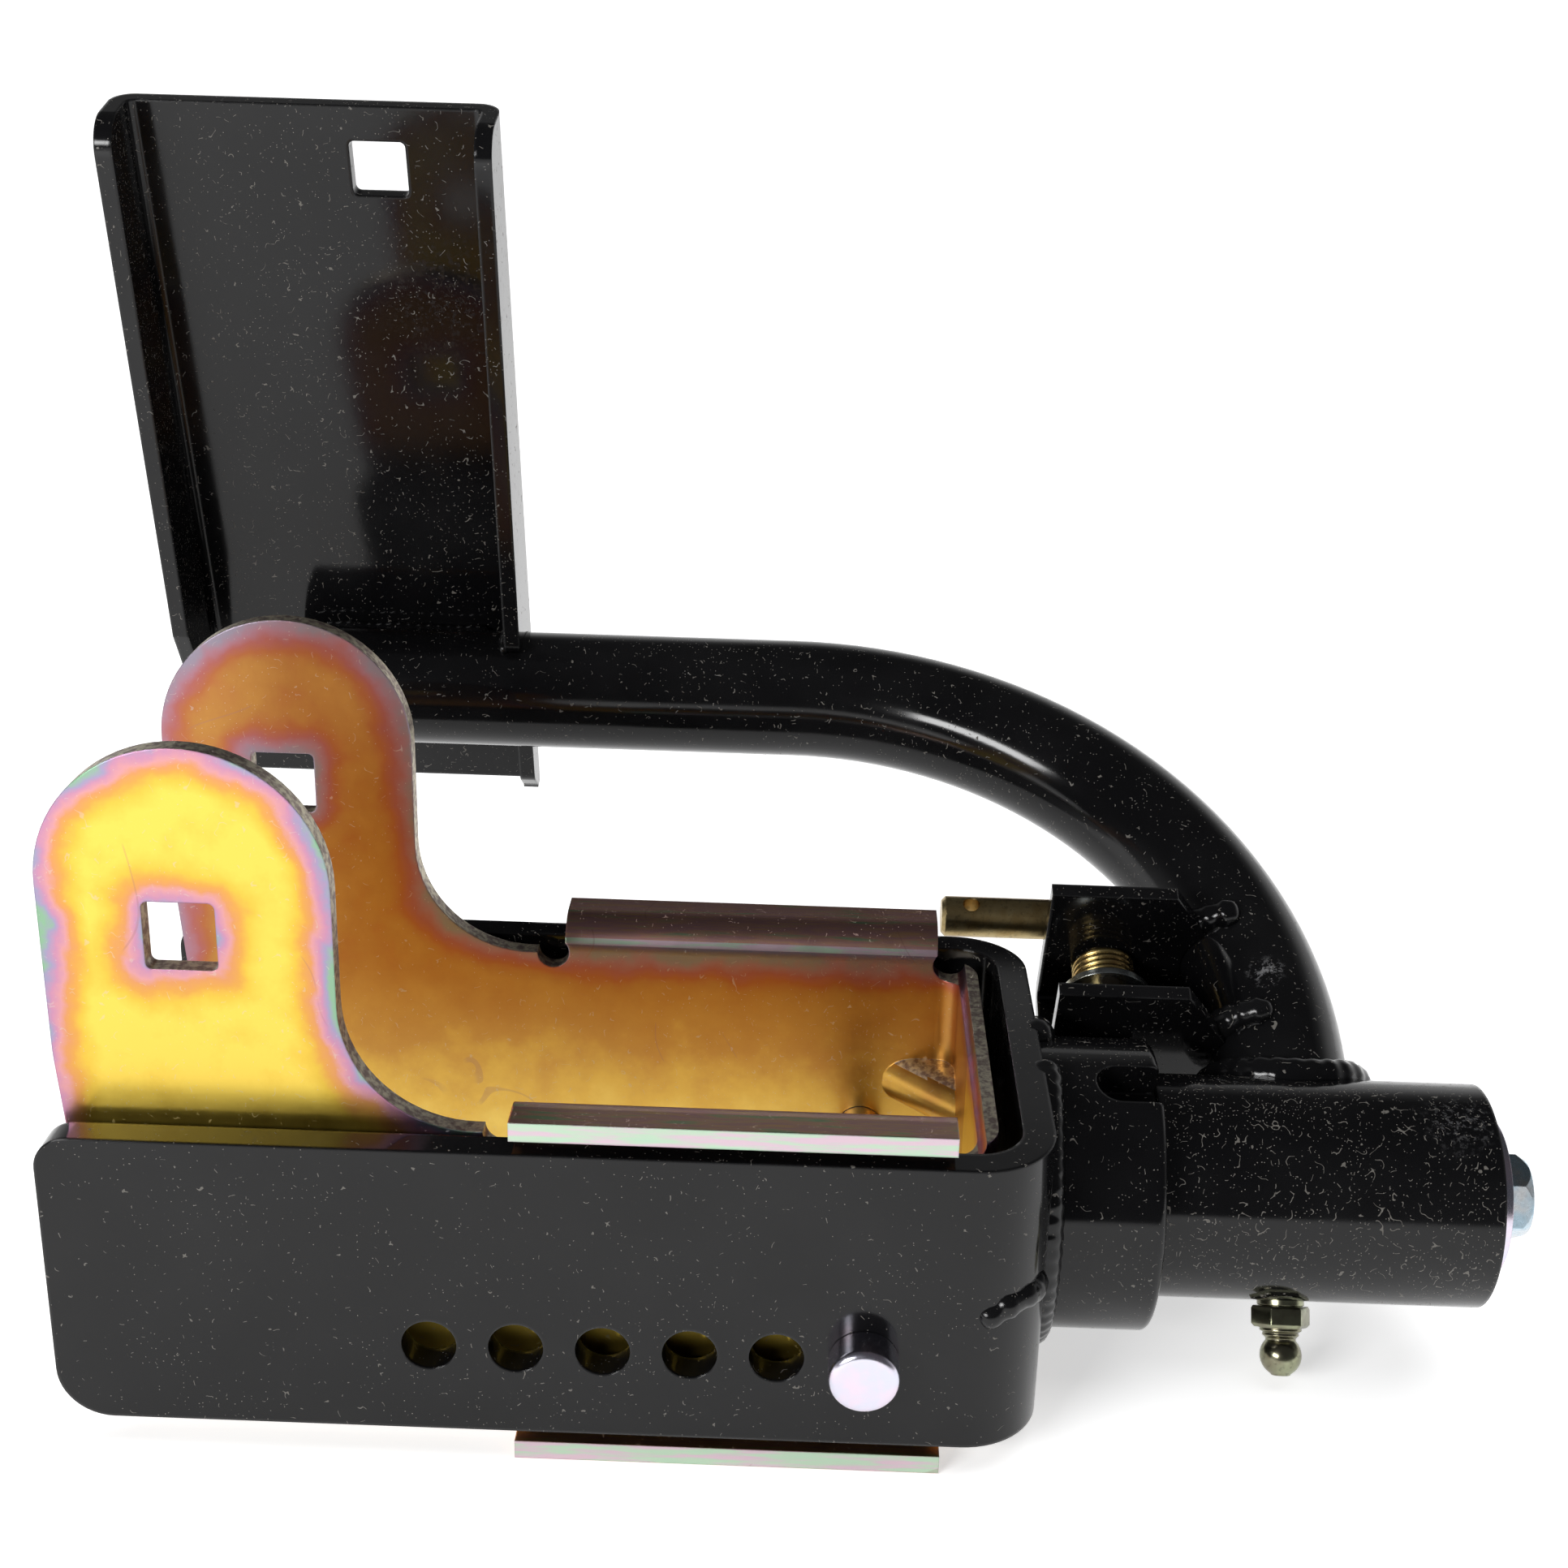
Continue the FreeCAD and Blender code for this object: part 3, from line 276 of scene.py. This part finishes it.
def put(name, mesh, finish, body, smooth=True):
    """Show a mesh as a piece that rides on a body."""
    piece = bpy.data.objects.new(name, mesh)
    bpy.context.collection.objects.link(piece)
    mesh.materials.append(finish)
    for face in mesh.polygons:
        face.use_smooth = smooth
    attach(piece, body)
    return piece


def weld_bead(name, path, radius, closed=False, seed=1, ripple=0.10, sides=14):
    """A bead laid along points: slight ripples, uneven width, rounded ends."""
    chance = random.Random(seed)
    path = [Vector(point) for point in path]
    spots, walked = [], 0.0
    count = len(path)
    for here in range(count if closed else count - 1):
        start, end = path[here], path[(here + 1) % count]
        length = (end - start).length
        steps = max(2, round(length / (radius * 0.16)))
        for k in range(steps):
            spots.append((start.lerp(end, k / steps), walked + length * k / steps))
        walked += length
    if not closed:
        spots.append((path[-1], walked))
    total = walked
    waves = [(chance.uniform(0, math.tau), chance.uniform(0.5, 1.0)) for _ in range(4)]
    made = bmesh.new()
    rings = []
    size = len(spots)
    side_way = None
    for k, (spot, along) in enumerate(spots):
        ahead = spots[(k + 1) % size][0] if closed or k + 1 < size else spot
        back = spots[k - 1][0] if closed or k > 0 else spot
        forward = (ahead - back).normalized()
        if side_way is None:
            side_way = forward.orthogonal().normalized()
        side_way = (side_way - forward * side_way.dot(forward)).normalized()
        up_way = forward.cross(side_way)
        swell = 1.0 + ripple * math.sin(math.tau * along / (radius * 0.9))
        for n, (phase, weight) in enumerate(waves):
            turns = (n + 2) * (math.tau / total) * (1 if closed else 0.8)
            swell += 0.045 * weight * math.sin(phase + turns * along)
        if not closed:
            edge = min(along, total - along) / (radius * 1.1)
            swell *= math.sqrt(max(1.0 - (1.0 - min(edge, 1.0)) ** 2, 0.0004))
        ring = []
        for s in range(sides):
            turn = math.tau * s / sides
            out_way = side_way * math.cos(turn) + up_way * math.sin(turn)
            ring.append(made.verts.new(spot + out_way * radius * swell))
        rings.append(ring)
    pairs = list(zip(rings, rings[1:])) + ([(rings[-1], rings[0])] if closed else [])
    for low_ring, high_ring in pairs:
        offset = 0
        if low_ring is rings[-1]:
            offset = min(range(sides), key=lambda o: (high_ring[o].co - low_ring[0].co).length)
        for s in range(sides):
            made.faces.new((low_ring[s], low_ring[(s + 1) % sides],
                            high_ring[(s + 1 + offset) % sides], high_ring[(s + offset) % sides]))
    if not closed:
        made.faces.new(list(reversed(rings[0])))
        made.faces.new(rings[-1])
    bmesh.ops.recalc_face_normals(made, faces=made.faces)
    mesh = bpy.data.meshes.new(name)
    made.to_mesh(mesh)
    made.free()
    return mesh


weld_coat = black_coat("weld_coat", 0.35, 6.1)
bracket_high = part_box("outer_bracket")[1]
bend_radius = 0.012
bend_x, bend_y = bracket_high.x - bend_radius, bend_radius
sunk = bend_radius - 0.0009
drop = []
for turn, level in ((8, 0.0069), (18, 0.0080), (30, 0.0092), (45, 0.0096), (59, 0.0094), (74, 0.0112)):
    turn = math.radians(turn)
    drop.append((bend_x + sunk * math.sin(turn), bend_y - sunk * math.cos(turn), level))
drop_mesh = weld_bead("bend_bead", drop, 0.0022, seed=4, ripple=0.02)
put("bend_bead", drop_mesh, weld_coat, "bracket")

# ---- slide channel --------------------------------------------------------------------------------------
# Folded sheet steel with two ears, plated in yellow chromated zinc. The film is thinnest along the
# cut edges and round the holes, so it turns from gold to pink, violet and green there.


def bands_of(tree, amount, shades):
    """Colours laid in bands along an amount, from (place, card colour) pairs."""
    laid = add(tree, "ValToRGB", {"Fac": amount})
    bands = laid.color_ramp.elements
    for stop, (spot, shade) in enumerate(shades):
        band = bands[stop] if stop < 2 else bands.new(spot)
        band.position = spot
        band.color = paint(*shade)
    return laid.outputs["Color"]


def plated_steel(name):
    """Yellow chromate over zinc: its colour follows the distance from the nearest cut edge."""
    finish, tree, shader = new_finish(name)
    place = add(tree, "TexCoord").outputs["Object"]
    mm = add(tree, "VectorMath", {0: place, 1: (1000.0, 1000.0, 1000.0)}, operation="MULTIPLY").outputs[0]
    axes = add(tree, "SeparateXYZ", {"Vector": mm})
    x, y, z = (axes.outputs[k] for k in "XYZ")
    ear_x, ear_top, ear_radius, shelf, hollow = -96.8, 88.9, 20.6, 31.6, 19.0
    hole_x, hole_z, hole_half = -97.6, 61.0, 5.15

    def away_from(ax, az):
        squares = sums(tree, "ADD", sums(tree, "MULTIPLY", ax, ax), sums(tree, "MULTIPLY", az, az))
        return sums(tree, "SQRT", squares)

    def past_hole(value, middle):
        offset = sums(tree, "ABSOLUTE", sums(tree, "SUBTRACT", value, middle))
        return sums(tree, "MAXIMUM", sums(tree, "SUBTRACT", offset, hole_half - 1), 0.0)

    right_of = sums(tree, "MAXIMUM", sums(tree, "SUBTRACT", ear_x + ear_radius + hollow, x), 0.0)
    below = sums(tree, "MAXIMUM", sums(tree, "SUBTRACT", shelf + hollow, z), 0.0)
    to_shelf = sums(tree, "SUBTRACT", away_from(right_of, below), hollow)
    over = sums(tree, "MAXIMUM", sums(tree, "SUBTRACT", z, ear_top - ear_radius), 0.0)
    across = sums(tree, "SUBTRACT", x, ear_x)
    high_part = sums(tree, "GREATER_THAN", over, 0.0)
    leftward = sums(tree, "MULTIPLY", across, -1.0)
    sideways = sums(tree, "MAXIMUM", leftward, sums(tree, "MULTIPLY", across, high_part))
    to_ear = sums(tree, "SUBTRACT", ear_radius, away_from(sums(tree, "MAXIMUM", sideways, 0.0), over))
    to_hole = sums(tree, "SUBTRACT", away_from(past_hole(x, hole_x), past_hole(z, hole_z)), 1.0)
    edge = sums(tree, "MINIMUM", to_shelf, sums(tree, "MINIMUM", to_ear, to_hole))

    drift = grain(tree, place, 55.0, 3.0, 0.55, 4.0)
    cloud = grain(tree, place, 120.0, 4.0, 0.6, 8.0)
    wavy = sums(tree, "ADD", edge, sums(tree, "MULTIPLY", sums(tree, "SUBTRACT", drift, 0.5), 7.0))
    far_side = sums(tree, "GREATER_THAN", y, 38.8)
    uneven = sums(tree, "MULTIPLY", sums(tree, "SUBTRACT", cloud, 0.5), 0.75)
    near_film = sums(tree, "ADD", step_up(tree, wavy, -2.0, 8.5), uneven, clamp=True)
    near_gold = bands_of(tree, near_film, (
        (0.00, (132, 168, 138)), (0.09, (150, 142, 170)), (0.20, (184, 132, 158)), (0.33, (202, 144, 146)),
        (0.46, (204, 142, 92)), (0.60, (208, 152, 76)), (0.78, (214, 178, 70)), (1.00, (228, 196, 84))))
    slow = step_up(tree, wavy, -1.0, 7.0)
    lower = step_up(tree, z, 34.0, -8.0)
    far_film = sums(tree, "ADD", sums(tree, "MULTIPLY", slow, 0.50), sums(tree, "MULTIPLY", lower, 0.45))
    far_film = sums(tree, "ADD", far_film, sums(tree, "MULTIPLY", uneven, 0.55), clamp=True)
    far_gold = bands_of(tree, far_film, (
        (0.00, (140, 132, 146)), (0.10, (160, 116, 128)), (0.22, (164, 98, 92)), (0.36, (170, 104, 66)),
        (0.50, (176, 124, 66)), (0.68, (190, 142, 72)), (0.86, (216, 176, 84)), (1.00, (232, 200, 104))))
    colour = mixed(tree, far_side, near_gold, far_gold)

    lips = sums(tree, "MAXIMUM", sums(tree, "GREATER_THAN", z, 33.2), sums(tree, "LESS_THAN", z, -15.0))
    lips = sums(tree, "MULTIPLY", lips, sums(tree, "GREATER_THAN", x, -51.6))
    streak = add(tree, "TexNoise", {"Vector": add(tree, "VectorMath", {0: mm, 1: (0.05, 0.5, 0.5)},
                 operation="MULTIPLY").outputs[0], "Scale": 2.0, "Detail": 3.0}).outputs["Fac"]
    lip_film = bands_of(tree, streak, (
        (0.30, (150, 172, 132)), (0.42, (204, 156, 128)), (0.55, (190, 142, 140)), (0.70, (206, 160, 118))))
    colour = mixed(tree, sums(tree, "MULTIPLY", lips, 0.85), colour, lip_film)

    facing = add(tree, "SeparateXYZ", {"Vector": add(tree, "TexCoord").outputs["Normal"]})
    flatness = sums(tree, "ABSOLUTE", facing.outputs["Y"])
    side_plate = sums(tree, "LESS_THAN", x, 11.0)
    cut_side = sums(tree, "MULTIPLY", sums(tree, "LESS_THAN", flatness, 0.5), side_plate)
    off_lips = sums(tree, "SUBTRACT", 1.0, lips)
    cut_side = sums(tree, "MULTIPLY", cut_side, off_lips)
    level_face = sums(tree, "GREATER_THAN", sums(tree, "ABSOLUTE", facing.outputs["Z"]), 0.8)
    end_web = sums(tree, "MULTIPLY", sums(tree, "GREATER_THAN", x, 11.0), off_lips)
    cut_top = sums(tree, "MULTIPLY", level_face, end_web)
    lip_edge = sums(tree, "MULTIPLY", sums(tree, "GREATER_THAN", flatness, 0.9), lips)
    sheared = sums(tree, "MAXIMUM", cut_side, cut_top)
    tear = grain(tree, place, 900.0, 2.0, 0.6, 2.0)
    # Cut edge faces get a paler tone, partly the thin film there and partly a painted highlight for the
    # light the edges catch.
    edge_tone_and_highlight = mixed(tree, step_up(tree, tear, 0.35, 0.65), paint(150, 134, 128), paint(216, 208, 186))
    colour = mixed(tree, sheared, colour, edge_tone_and_highlight)
    pale = mixed(tree, step_up(tree, streak, 0.4, 0.6), paint(178, 206, 184), paint(206, 184, 198))
    colour = mixed(tree, sums(tree, "MULTIPLY", lip_edge, 0.9), colour, pale)

    marks = sums(tree, "COMPARE", grain(tree, place, 28.0, 1.0, 0.4, 21.0), 0.5, 0.0016)
    scuffed = step_up(tree, grain(tree, place, 60.0, 1.0, 0.5, 13.0), 0.52, 0.56)
    marks = sums(tree, "MULTIPLY", marks, scuffed)
    colour = mixed(tree, sums(tree, "MULTIPLY", marks, 0.3), colour, paint(150, 110, 104))
    specks = lint(tree, place, 0.35, 12.0)
    colour = mixed(tree, sums(tree, "MULTIPLY", specks, 0.6), colour, (0.55, 0.50, 0.42, 1))
    tree.links.new(colour, shader.inputs["Base Color"])
    metal = sums(tree, "SUBTRACT", 1.0, sums(tree, "MULTIPLY", specks, 0.7), clamp=True)
    tree.links.new(metal, shader.inputs["Metallic"])
    rough = sums(tree, "ADD", 0.27, sums(tree, "MULTIPLY", cloud, 0.14))
    rough = sums(tree, "ADD", rough, sums(tree, "MULTIPLY", sheared, 0.15), clamp=True)
    tree.links.new(rough, shader.inputs["Roughness"])
    rolled = add(tree, "Bevel", {"Radius": 0.00035}, samples=5).outputs["Normal"]
    sheet = grain(tree, place, 1500.0, 2.0, 0.6, 1.0)
    torn = sums(tree, "MULTIPLY", sums(tree, "MULTIPLY", tear, sheared), 1.6)
    relief = sums(tree, "ADD", sums(tree, "MULTIPLY", sheet, 0.25), torn)
    bump = add(tree, "Bump", {"Strength": 0.4, "Distance": 0.00008, "Height": relief, "Normal": rolled})
    tree.links.new(bump.outputs["Normal"], shader.inputs["Normal"])
    return finish


dress("slide_channel", plated_steel("yellow_chromate"))

# ---- clevis pin and its clip ----------------------------------------------------------------------------
# A turned steel pin with a domed head, held by a spring-wire clip through its tail. Both are clear
# zinc plated, bluish with a faint pink bloom.


def zinc(name, cool, warm, roughness, seed, grime=0.0):
    """Bright plated steel, its tint drifting between two shades."""
    finish, tree, shader = new_finish(name)
    place = add(tree, "TexCoord").outputs["Object"]
    bloom = grain(tree, place, 180.0, 3.0, 0.6, seed)
    fine = grain(tree, place, 1300.0, 2.0, 0.6, seed + 4)
    colour = mixed(tree, step_up(tree, bloom, 0.35, 0.65), paint(*cool), paint(*warm))
    if grime:
        dark = sums(tree, "MULTIPLY", step_up(tree, fine, 0.52, 0.70), grime)
        colour = mixed(tree, dark, colour, (0.06, 0.05, 0.04, 1))
    tree.links.new(colour, shader.inputs["Base Color"])
    shader.inputs["Metallic"].default_value = 1.0
    rough = sums(tree, "ADD", roughness, sums(tree, "MULTIPLY", fine, 0.12))
    tree.links.new(rough, shader.inputs["Roughness"])
    rolled = add(tree, "Bevel", {"Radius": 0.00025}, samples=5).outputs["Normal"]
    bump = add(tree, "Bump", {"Strength": 0.25, "Distance": 0.00003, "Height": fine, "Normal": rolled})
    tree.links.new(bump.outputs["Normal"], shader.inputs["Normal"])
    return finish


clear_zinc = zinc("clear_zinc", (214, 214, 228), (226, 212, 226), 0.17, 3.0)
dress("clevis_pin", clear_zinc)
dress("pin_clip", clear_zinc)

# ---- lock collar ----------------------------------------------------------------------------------------
# A thick turned steel disc with two slots for the lock pin, welded to the end plate all the way
# round. The bead is a little uneven and lies under the same black coat.

dress("lock_collar", black_coat("collar_coat", 0.45, 11.0))
collar_low, collar_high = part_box("lock_collar")
pivot_y, pivot_z = (collar_low.y + collar_high.y) / 2, (collar_low.z + collar_high.z) / 2
collar_radius = (collar_high.y - collar_low.y) / 2
ring_path = []
for k in range(72):
    turn = math.tau * k / 72
    spot_z = pivot_z + (collar_radius + 0.0003) * math.cos(turn)
    if spot_z > bracket_high.z - 0.0012:
        continue
    ring_path.append((collar_low.x + 0.0003, pivot_y + (collar_radius + 0.0003) * math.sin(turn), spot_z))
gap = max(range(len(ring_path)), key=lambda k: (Vector(ring_path[k]) - Vector(ring_path[k - 1])).length)
ring_path = ring_path[gap:] + ring_path[:gap]
ring_mesh = weld_bead("collar_bead", ring_path, 0.0027, seed=9, ripple=0.03)
collar_bead = put("collar_bead", ring_mesh, weld_coat, "bracket")
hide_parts("collar_weld")

# ---- pivot: spindle, bushes and sleeve ------------------------------------------------------------------
# A bright steel bar through the end plate, two bronze bushes pressed in a length of thick tube, and
# the tube itself, powder coated and the dustiest part, rubbed pale at its free end.

sleeve_low, sleeve_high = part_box("pivot_sleeve")
rub_spot = (sleeve_high.x - 0.006, pivot_y - 0.006, sleeve_high.z - 0.001)
dress("pivot_sleeve", black_coat("sleeve_coat", 1.0, 17.0, rubbed=(rub_spot, 0.005, 0.35)))
dress("pivot_spindle", zinc("bare_steel", (168, 168, 172), (150, 146, 142), 0.24, 5.0, grime=0.3))
bronze = zinc("bush_bronze", (176, 128, 70), (150, 102, 60), 0.32, 6.0, grime=0.3)
dress("inner_bush", bronze)
dress("outer_bush", bronze)

# ---- end washer and bolt --------------------------------------------------------------------------------
# A thick clear-zinc washer keeps the sleeve on its bushes, and a hexagon bolt screwed into the
# spindle holds it.

dress("end_washer", clear_zinc)
dress("end_bolt", zinc("bolt_zinc", (176, 200, 214), (204, 206, 208), 0.22, 7.0, grime=0.15))

# ---- grease nipple --------------------------------------------------------------------------------------
# A small turned nipple: threaded stem, chamfered hexagon, grooved neck and ball end, in greenish zinc.

nipple_low, nipple_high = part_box("grease_nipple")
nipple_x = (nipple_low.x + nipple_high.x) / 2
sleeve_radius = (sleeve_high.z - sleeve_low.z) / 2
nipple_lean = math.radians(31.0)
outward = Vector((0.0, -math.sin(nipple_lean), -math.cos(nipple_lean)))
nipple_root = Vector((nipple_x, pivot_y, pivot_z))
nipple_axes = Matrix((Vector((1, 0, 0)), outward.cross(Vector((1, 0, 0))), outward)).transposed()


def turned(profile, sides=48):
    """A turned solid from (radius, height) steps, along +Z, closed at both ends."""
    made = bmesh.new()
    turns = [math.tau * s / sides for s in range(sides)]
    rings = [[made.verts.new((radius * math.cos(turn), radius * math.sin(turn), level)) for turn in turns]
             for radius, level in profile]
    for low_ring, high_ring in zip(rings, rings[1:]):
        for s in range(sides):
            after = (s + 1) % sides
            made.faces.new((low_ring[s], low_ring[after], high_ring[after], high_ring[s]))
    made.faces.new(list(reversed(rings[0])))
    made.faces.new(rings[-1])
    return made


skin = sleeve_radius
ball = 0.0033
profile = [
    (0.0030, skin - 0.0030), (0.0030, skin - 0.0004), (0.0037, skin - 0.0003), (0.0037, skin + 0.0006),
    (0.0032, skin + 0.0009), (0.0032, skin + 0.0040), (0.0033, skin + 0.0042), (0.0033, skin + 0.0046),
    (0.0028, skin + 0.0049), (0.0029, skin + 0.0053), (0.0024, skin + 0.0058), (0.00235, skin + 0.0064),
]
ball_middle = skin + 0.00840
for k in range(11):
    turn = math.radians(-44 + 10.4 * k)
    profile.append((ball * math.cos(turn), ball_middle + ball * math.sin(turn)))
tip = ball_middle + ball * math.sin(math.radians(60))
profile += [(ball * 0.46, tip + 0.00020), (ball * 0.40, tip + 0.00030), (ball * 0.20, tip + 0.00028),
            (ball * 0.12, tip - 0.0003)]
nipple = turned(profile)
hexagon = bmesh.new()
corner = 0.0082 / math.sqrt(3)
hex_rings = []
for level, narrow in ((0.0008, 0.94), (0.0012, 1.0), (0.0036, 1.0), (0.0041, 0.90)):
    ring = []
    for k in range(36):
        turn = math.tau * k / 36
        to_flat = 0.0041 / math.cos((turn % (math.pi / 3)) - math.pi / 6)
        out = min(to_flat, corner * 0.985) * narrow
        ring.append(hexagon.verts.new((out * math.cos(turn), out * math.sin(turn), skin + level)))
    hex_rings.append(ring)
for low_ring, high_ring in zip(hex_rings, hex_rings[1:]):
    for s in range(36):
        hexagon.faces.new((low_ring[s], low_ring[(s + 1) % 36], high_ring[(s + 1) % 36], high_ring[s]))
hexagon.faces.new(list(reversed(hex_rings[0])))
hexagon.faces.new(hex_rings[-1])
hex_mesh = bpy.data.meshes.new("nipple_hexagon")
hexagon.to_mesh(hex_mesh)
hexagon.free()
nipple.from_mesh(hex_mesh)
bpy.data.meshes.remove(hex_mesh)
nipple_mesh = bpy.data.meshes.new("turned_nipple")
nipple.to_mesh(nipple_mesh)
nipple.free()
nipple_mesh.transform(Matrix.Translation(nipple_root) @ nipple_axes.to_4x4())
nipple_zinc = zinc("nipple_zinc", (152, 156, 128), (128, 124, 104), 0.16, 9.0, grime=0.35)
nipple_piece = put("turned_nipple", nipple_mesh, nipple_zinc, "arm")
nipple_piece.modifiers.new("crisp", "EDGE_SPLIT").split_angle = math.radians(35)
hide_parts("grease_nipple")

# ---- arm tube -------------------------------------------------------------------------------------------
# Steel tube bent through a right angle and set on the sleeve, powder coated, with a few silvery
# scuffs near its foot. A thick, even weld runs all round where it stands on the sleeve.

arm_lean = math.radians(65.0)
arm_turn = Matrix.Rotation(-arm_lean, 4, "X")
arm_place = Matrix.Translation(Vector((0.0, pivot_y, pivot_z))) @ arm_turn


def on_arm(x, y, z):
    """A point given with the arm stood straight up from the pivot, in its leaning place."""
    return arm_place @ Vector((x, y, z))


scuffs = Vector((0.0672, 0.0665, 0.0332))
dress("arm_tube", black_coat("tube_coat", 0.35, 23.0, rubbed=(tuple(scuffs), 0.0028, 0.8)))
tube_radius, root_x = 0.0113, 0.0695
saddle = []
for k in range(64):
    turn = math.tau * k / 64
    off_x, off_y = (tube_radius + 0.0006) * math.cos(turn), (tube_radius + 0.0006) * math.sin(turn)
    saddle.append(on_arm(root_x + off_x, off_y, math.sqrt((sleeve_radius + 0.0004) ** 2 - off_y ** 2)))
foot_mesh = weld_bead("foot_bead", saddle, 0.0030, closed=True, seed=21, ripple=0.03)
foot_bead = put("foot_bead", foot_mesh, weld_coat, "arm")
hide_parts("arm_weld")

# ---- upright --------------------------------------------------------------------------------------------
# A folded steel channel with tapering flanges and one square hole, welded across the end of the
# tube and powder coated with it. Beads hold it along the tube, and a short one inside its right flange.

arm_reach = 0.110
upright_place = (arm_place @ Matrix.Translation(Vector((0.0, 0.0, arm_reach)))
                 @ Matrix.Rotation(math.radians(-9.2), 4, "X"))


def on_upright(x, y, z):
    """A point from the tube's axis, with the upright stood straight, in its leaning place."""
    return upright_place @ Vector((x, y, z))


# Painted shadow on the upright: a duller, rougher patch standing in for the shade that falls there.
shadow_spot = tuple(on_upright(-0.079, -0.076, tube_radius))
dress("upright_channel", black_coat("upright_coat", 0.5, 31.0, painted_shadow=(shadow_spot, 0.012, 0.5)))
for name, side in (("upper_upright_bead", -1), ("lower_upright_bead", 1)):
    line = [on_upright(-0.1112 + 0.036 * k / 8, side * 0.0062, tube_radius - 0.0022) for k in range(9)]
    line_mesh = weld_bead(name, line, 0.0022, seed=30 + side, ripple=0.04)
    bead = put(name, line_mesh, weld_coat, "arm")
    if side < 0:
        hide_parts("upright_welds")
flange_x = -0.0706
hoop, hoop_radius = [], tube_radius + 0.0004
for k in range(9):
    turn = math.radians(-20 + 70 * k / 8)
    hoop.append(on_upright(flange_x, -hoop_radius * math.cos(turn), hoop_radius * math.sin(turn)))
hoop_mesh = weld_bead("flange_bead", hoop, 0.0013, seed=37, ripple=0.03)
put("flange_bead", hoop_mesh, weld_coat, "arm")

# ---- lock housing ---------------------------------------------------------------------------------------
# A small U of folded sheet, open at the front, that guides the lock pin. It is cut to sit on the tube,
# held by two thick beads, and coated with the arm.

dress("lock_housing", black_coat("housing_coat", 0.5, 41.0))


def tube_side(level, y):
    """X of the tube's left side at a station along the lock pin and a distance from its axis."""
    centre_x, centre_z, bend = root_x - 0.084, arm_reach - 0.084, 0.084
    spread = math.sqrt(max(tube_radius ** 2 - y ** 2, 0.0))
    if level <= centre_z:
        return root_x - spread
    inner = bend - spread
    return centre_x + math.sqrt(max(inner ** 2 - (level - centre_z) ** 2, 0.0))


housing_beads = (("upper_housing_bead", 0.0486, 0.0026, 51), ("lower_housing_bead", 0.0276, 0.0024, 53))
for name, level, radius, seed in housing_beads:
    line = []
    for k in range(15):
        y = -0.0112 + 0.0172 * k / 14
        line.append(on_arm(tube_side(level, y) - 0.0004, y, level))
    bead = put(name, weld_bead(name, line, radius, seed=seed, ripple=0.05), weld_coat, "arm")
    if seed == 51:
        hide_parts("housing_welds")

# ---- lock pin and its spring ----------------------------------------------------------------------------
# A round steel rod bent into an L, yellow zinc plated, pushed towards the collar by a coil spring
# that bears on a washer over a roll pin. Spring and rod are plated together, the washer clear zinc.

rod_gold = zinc("rod_zinc", (196, 176, 128), (172, 146, 96), 0.24, 13.0, grime=0.35)
dress("lock_pin", rod_gold)
dress("lock_spring", zinc("spring_zinc", (206, 182, 120), (184, 152, 96), 0.22, 15.0, grime=0.2))
dress("lock_washer", zinc("washer_zinc", (206, 214, 214), (188, 186, 170), 0.2, 16.0, grime=0.1))
dress("roll_pin", zinc("roll_pin_steel", (92, 84, 72), (70, 62, 54), 0.3, 18.0, grime=0.4))
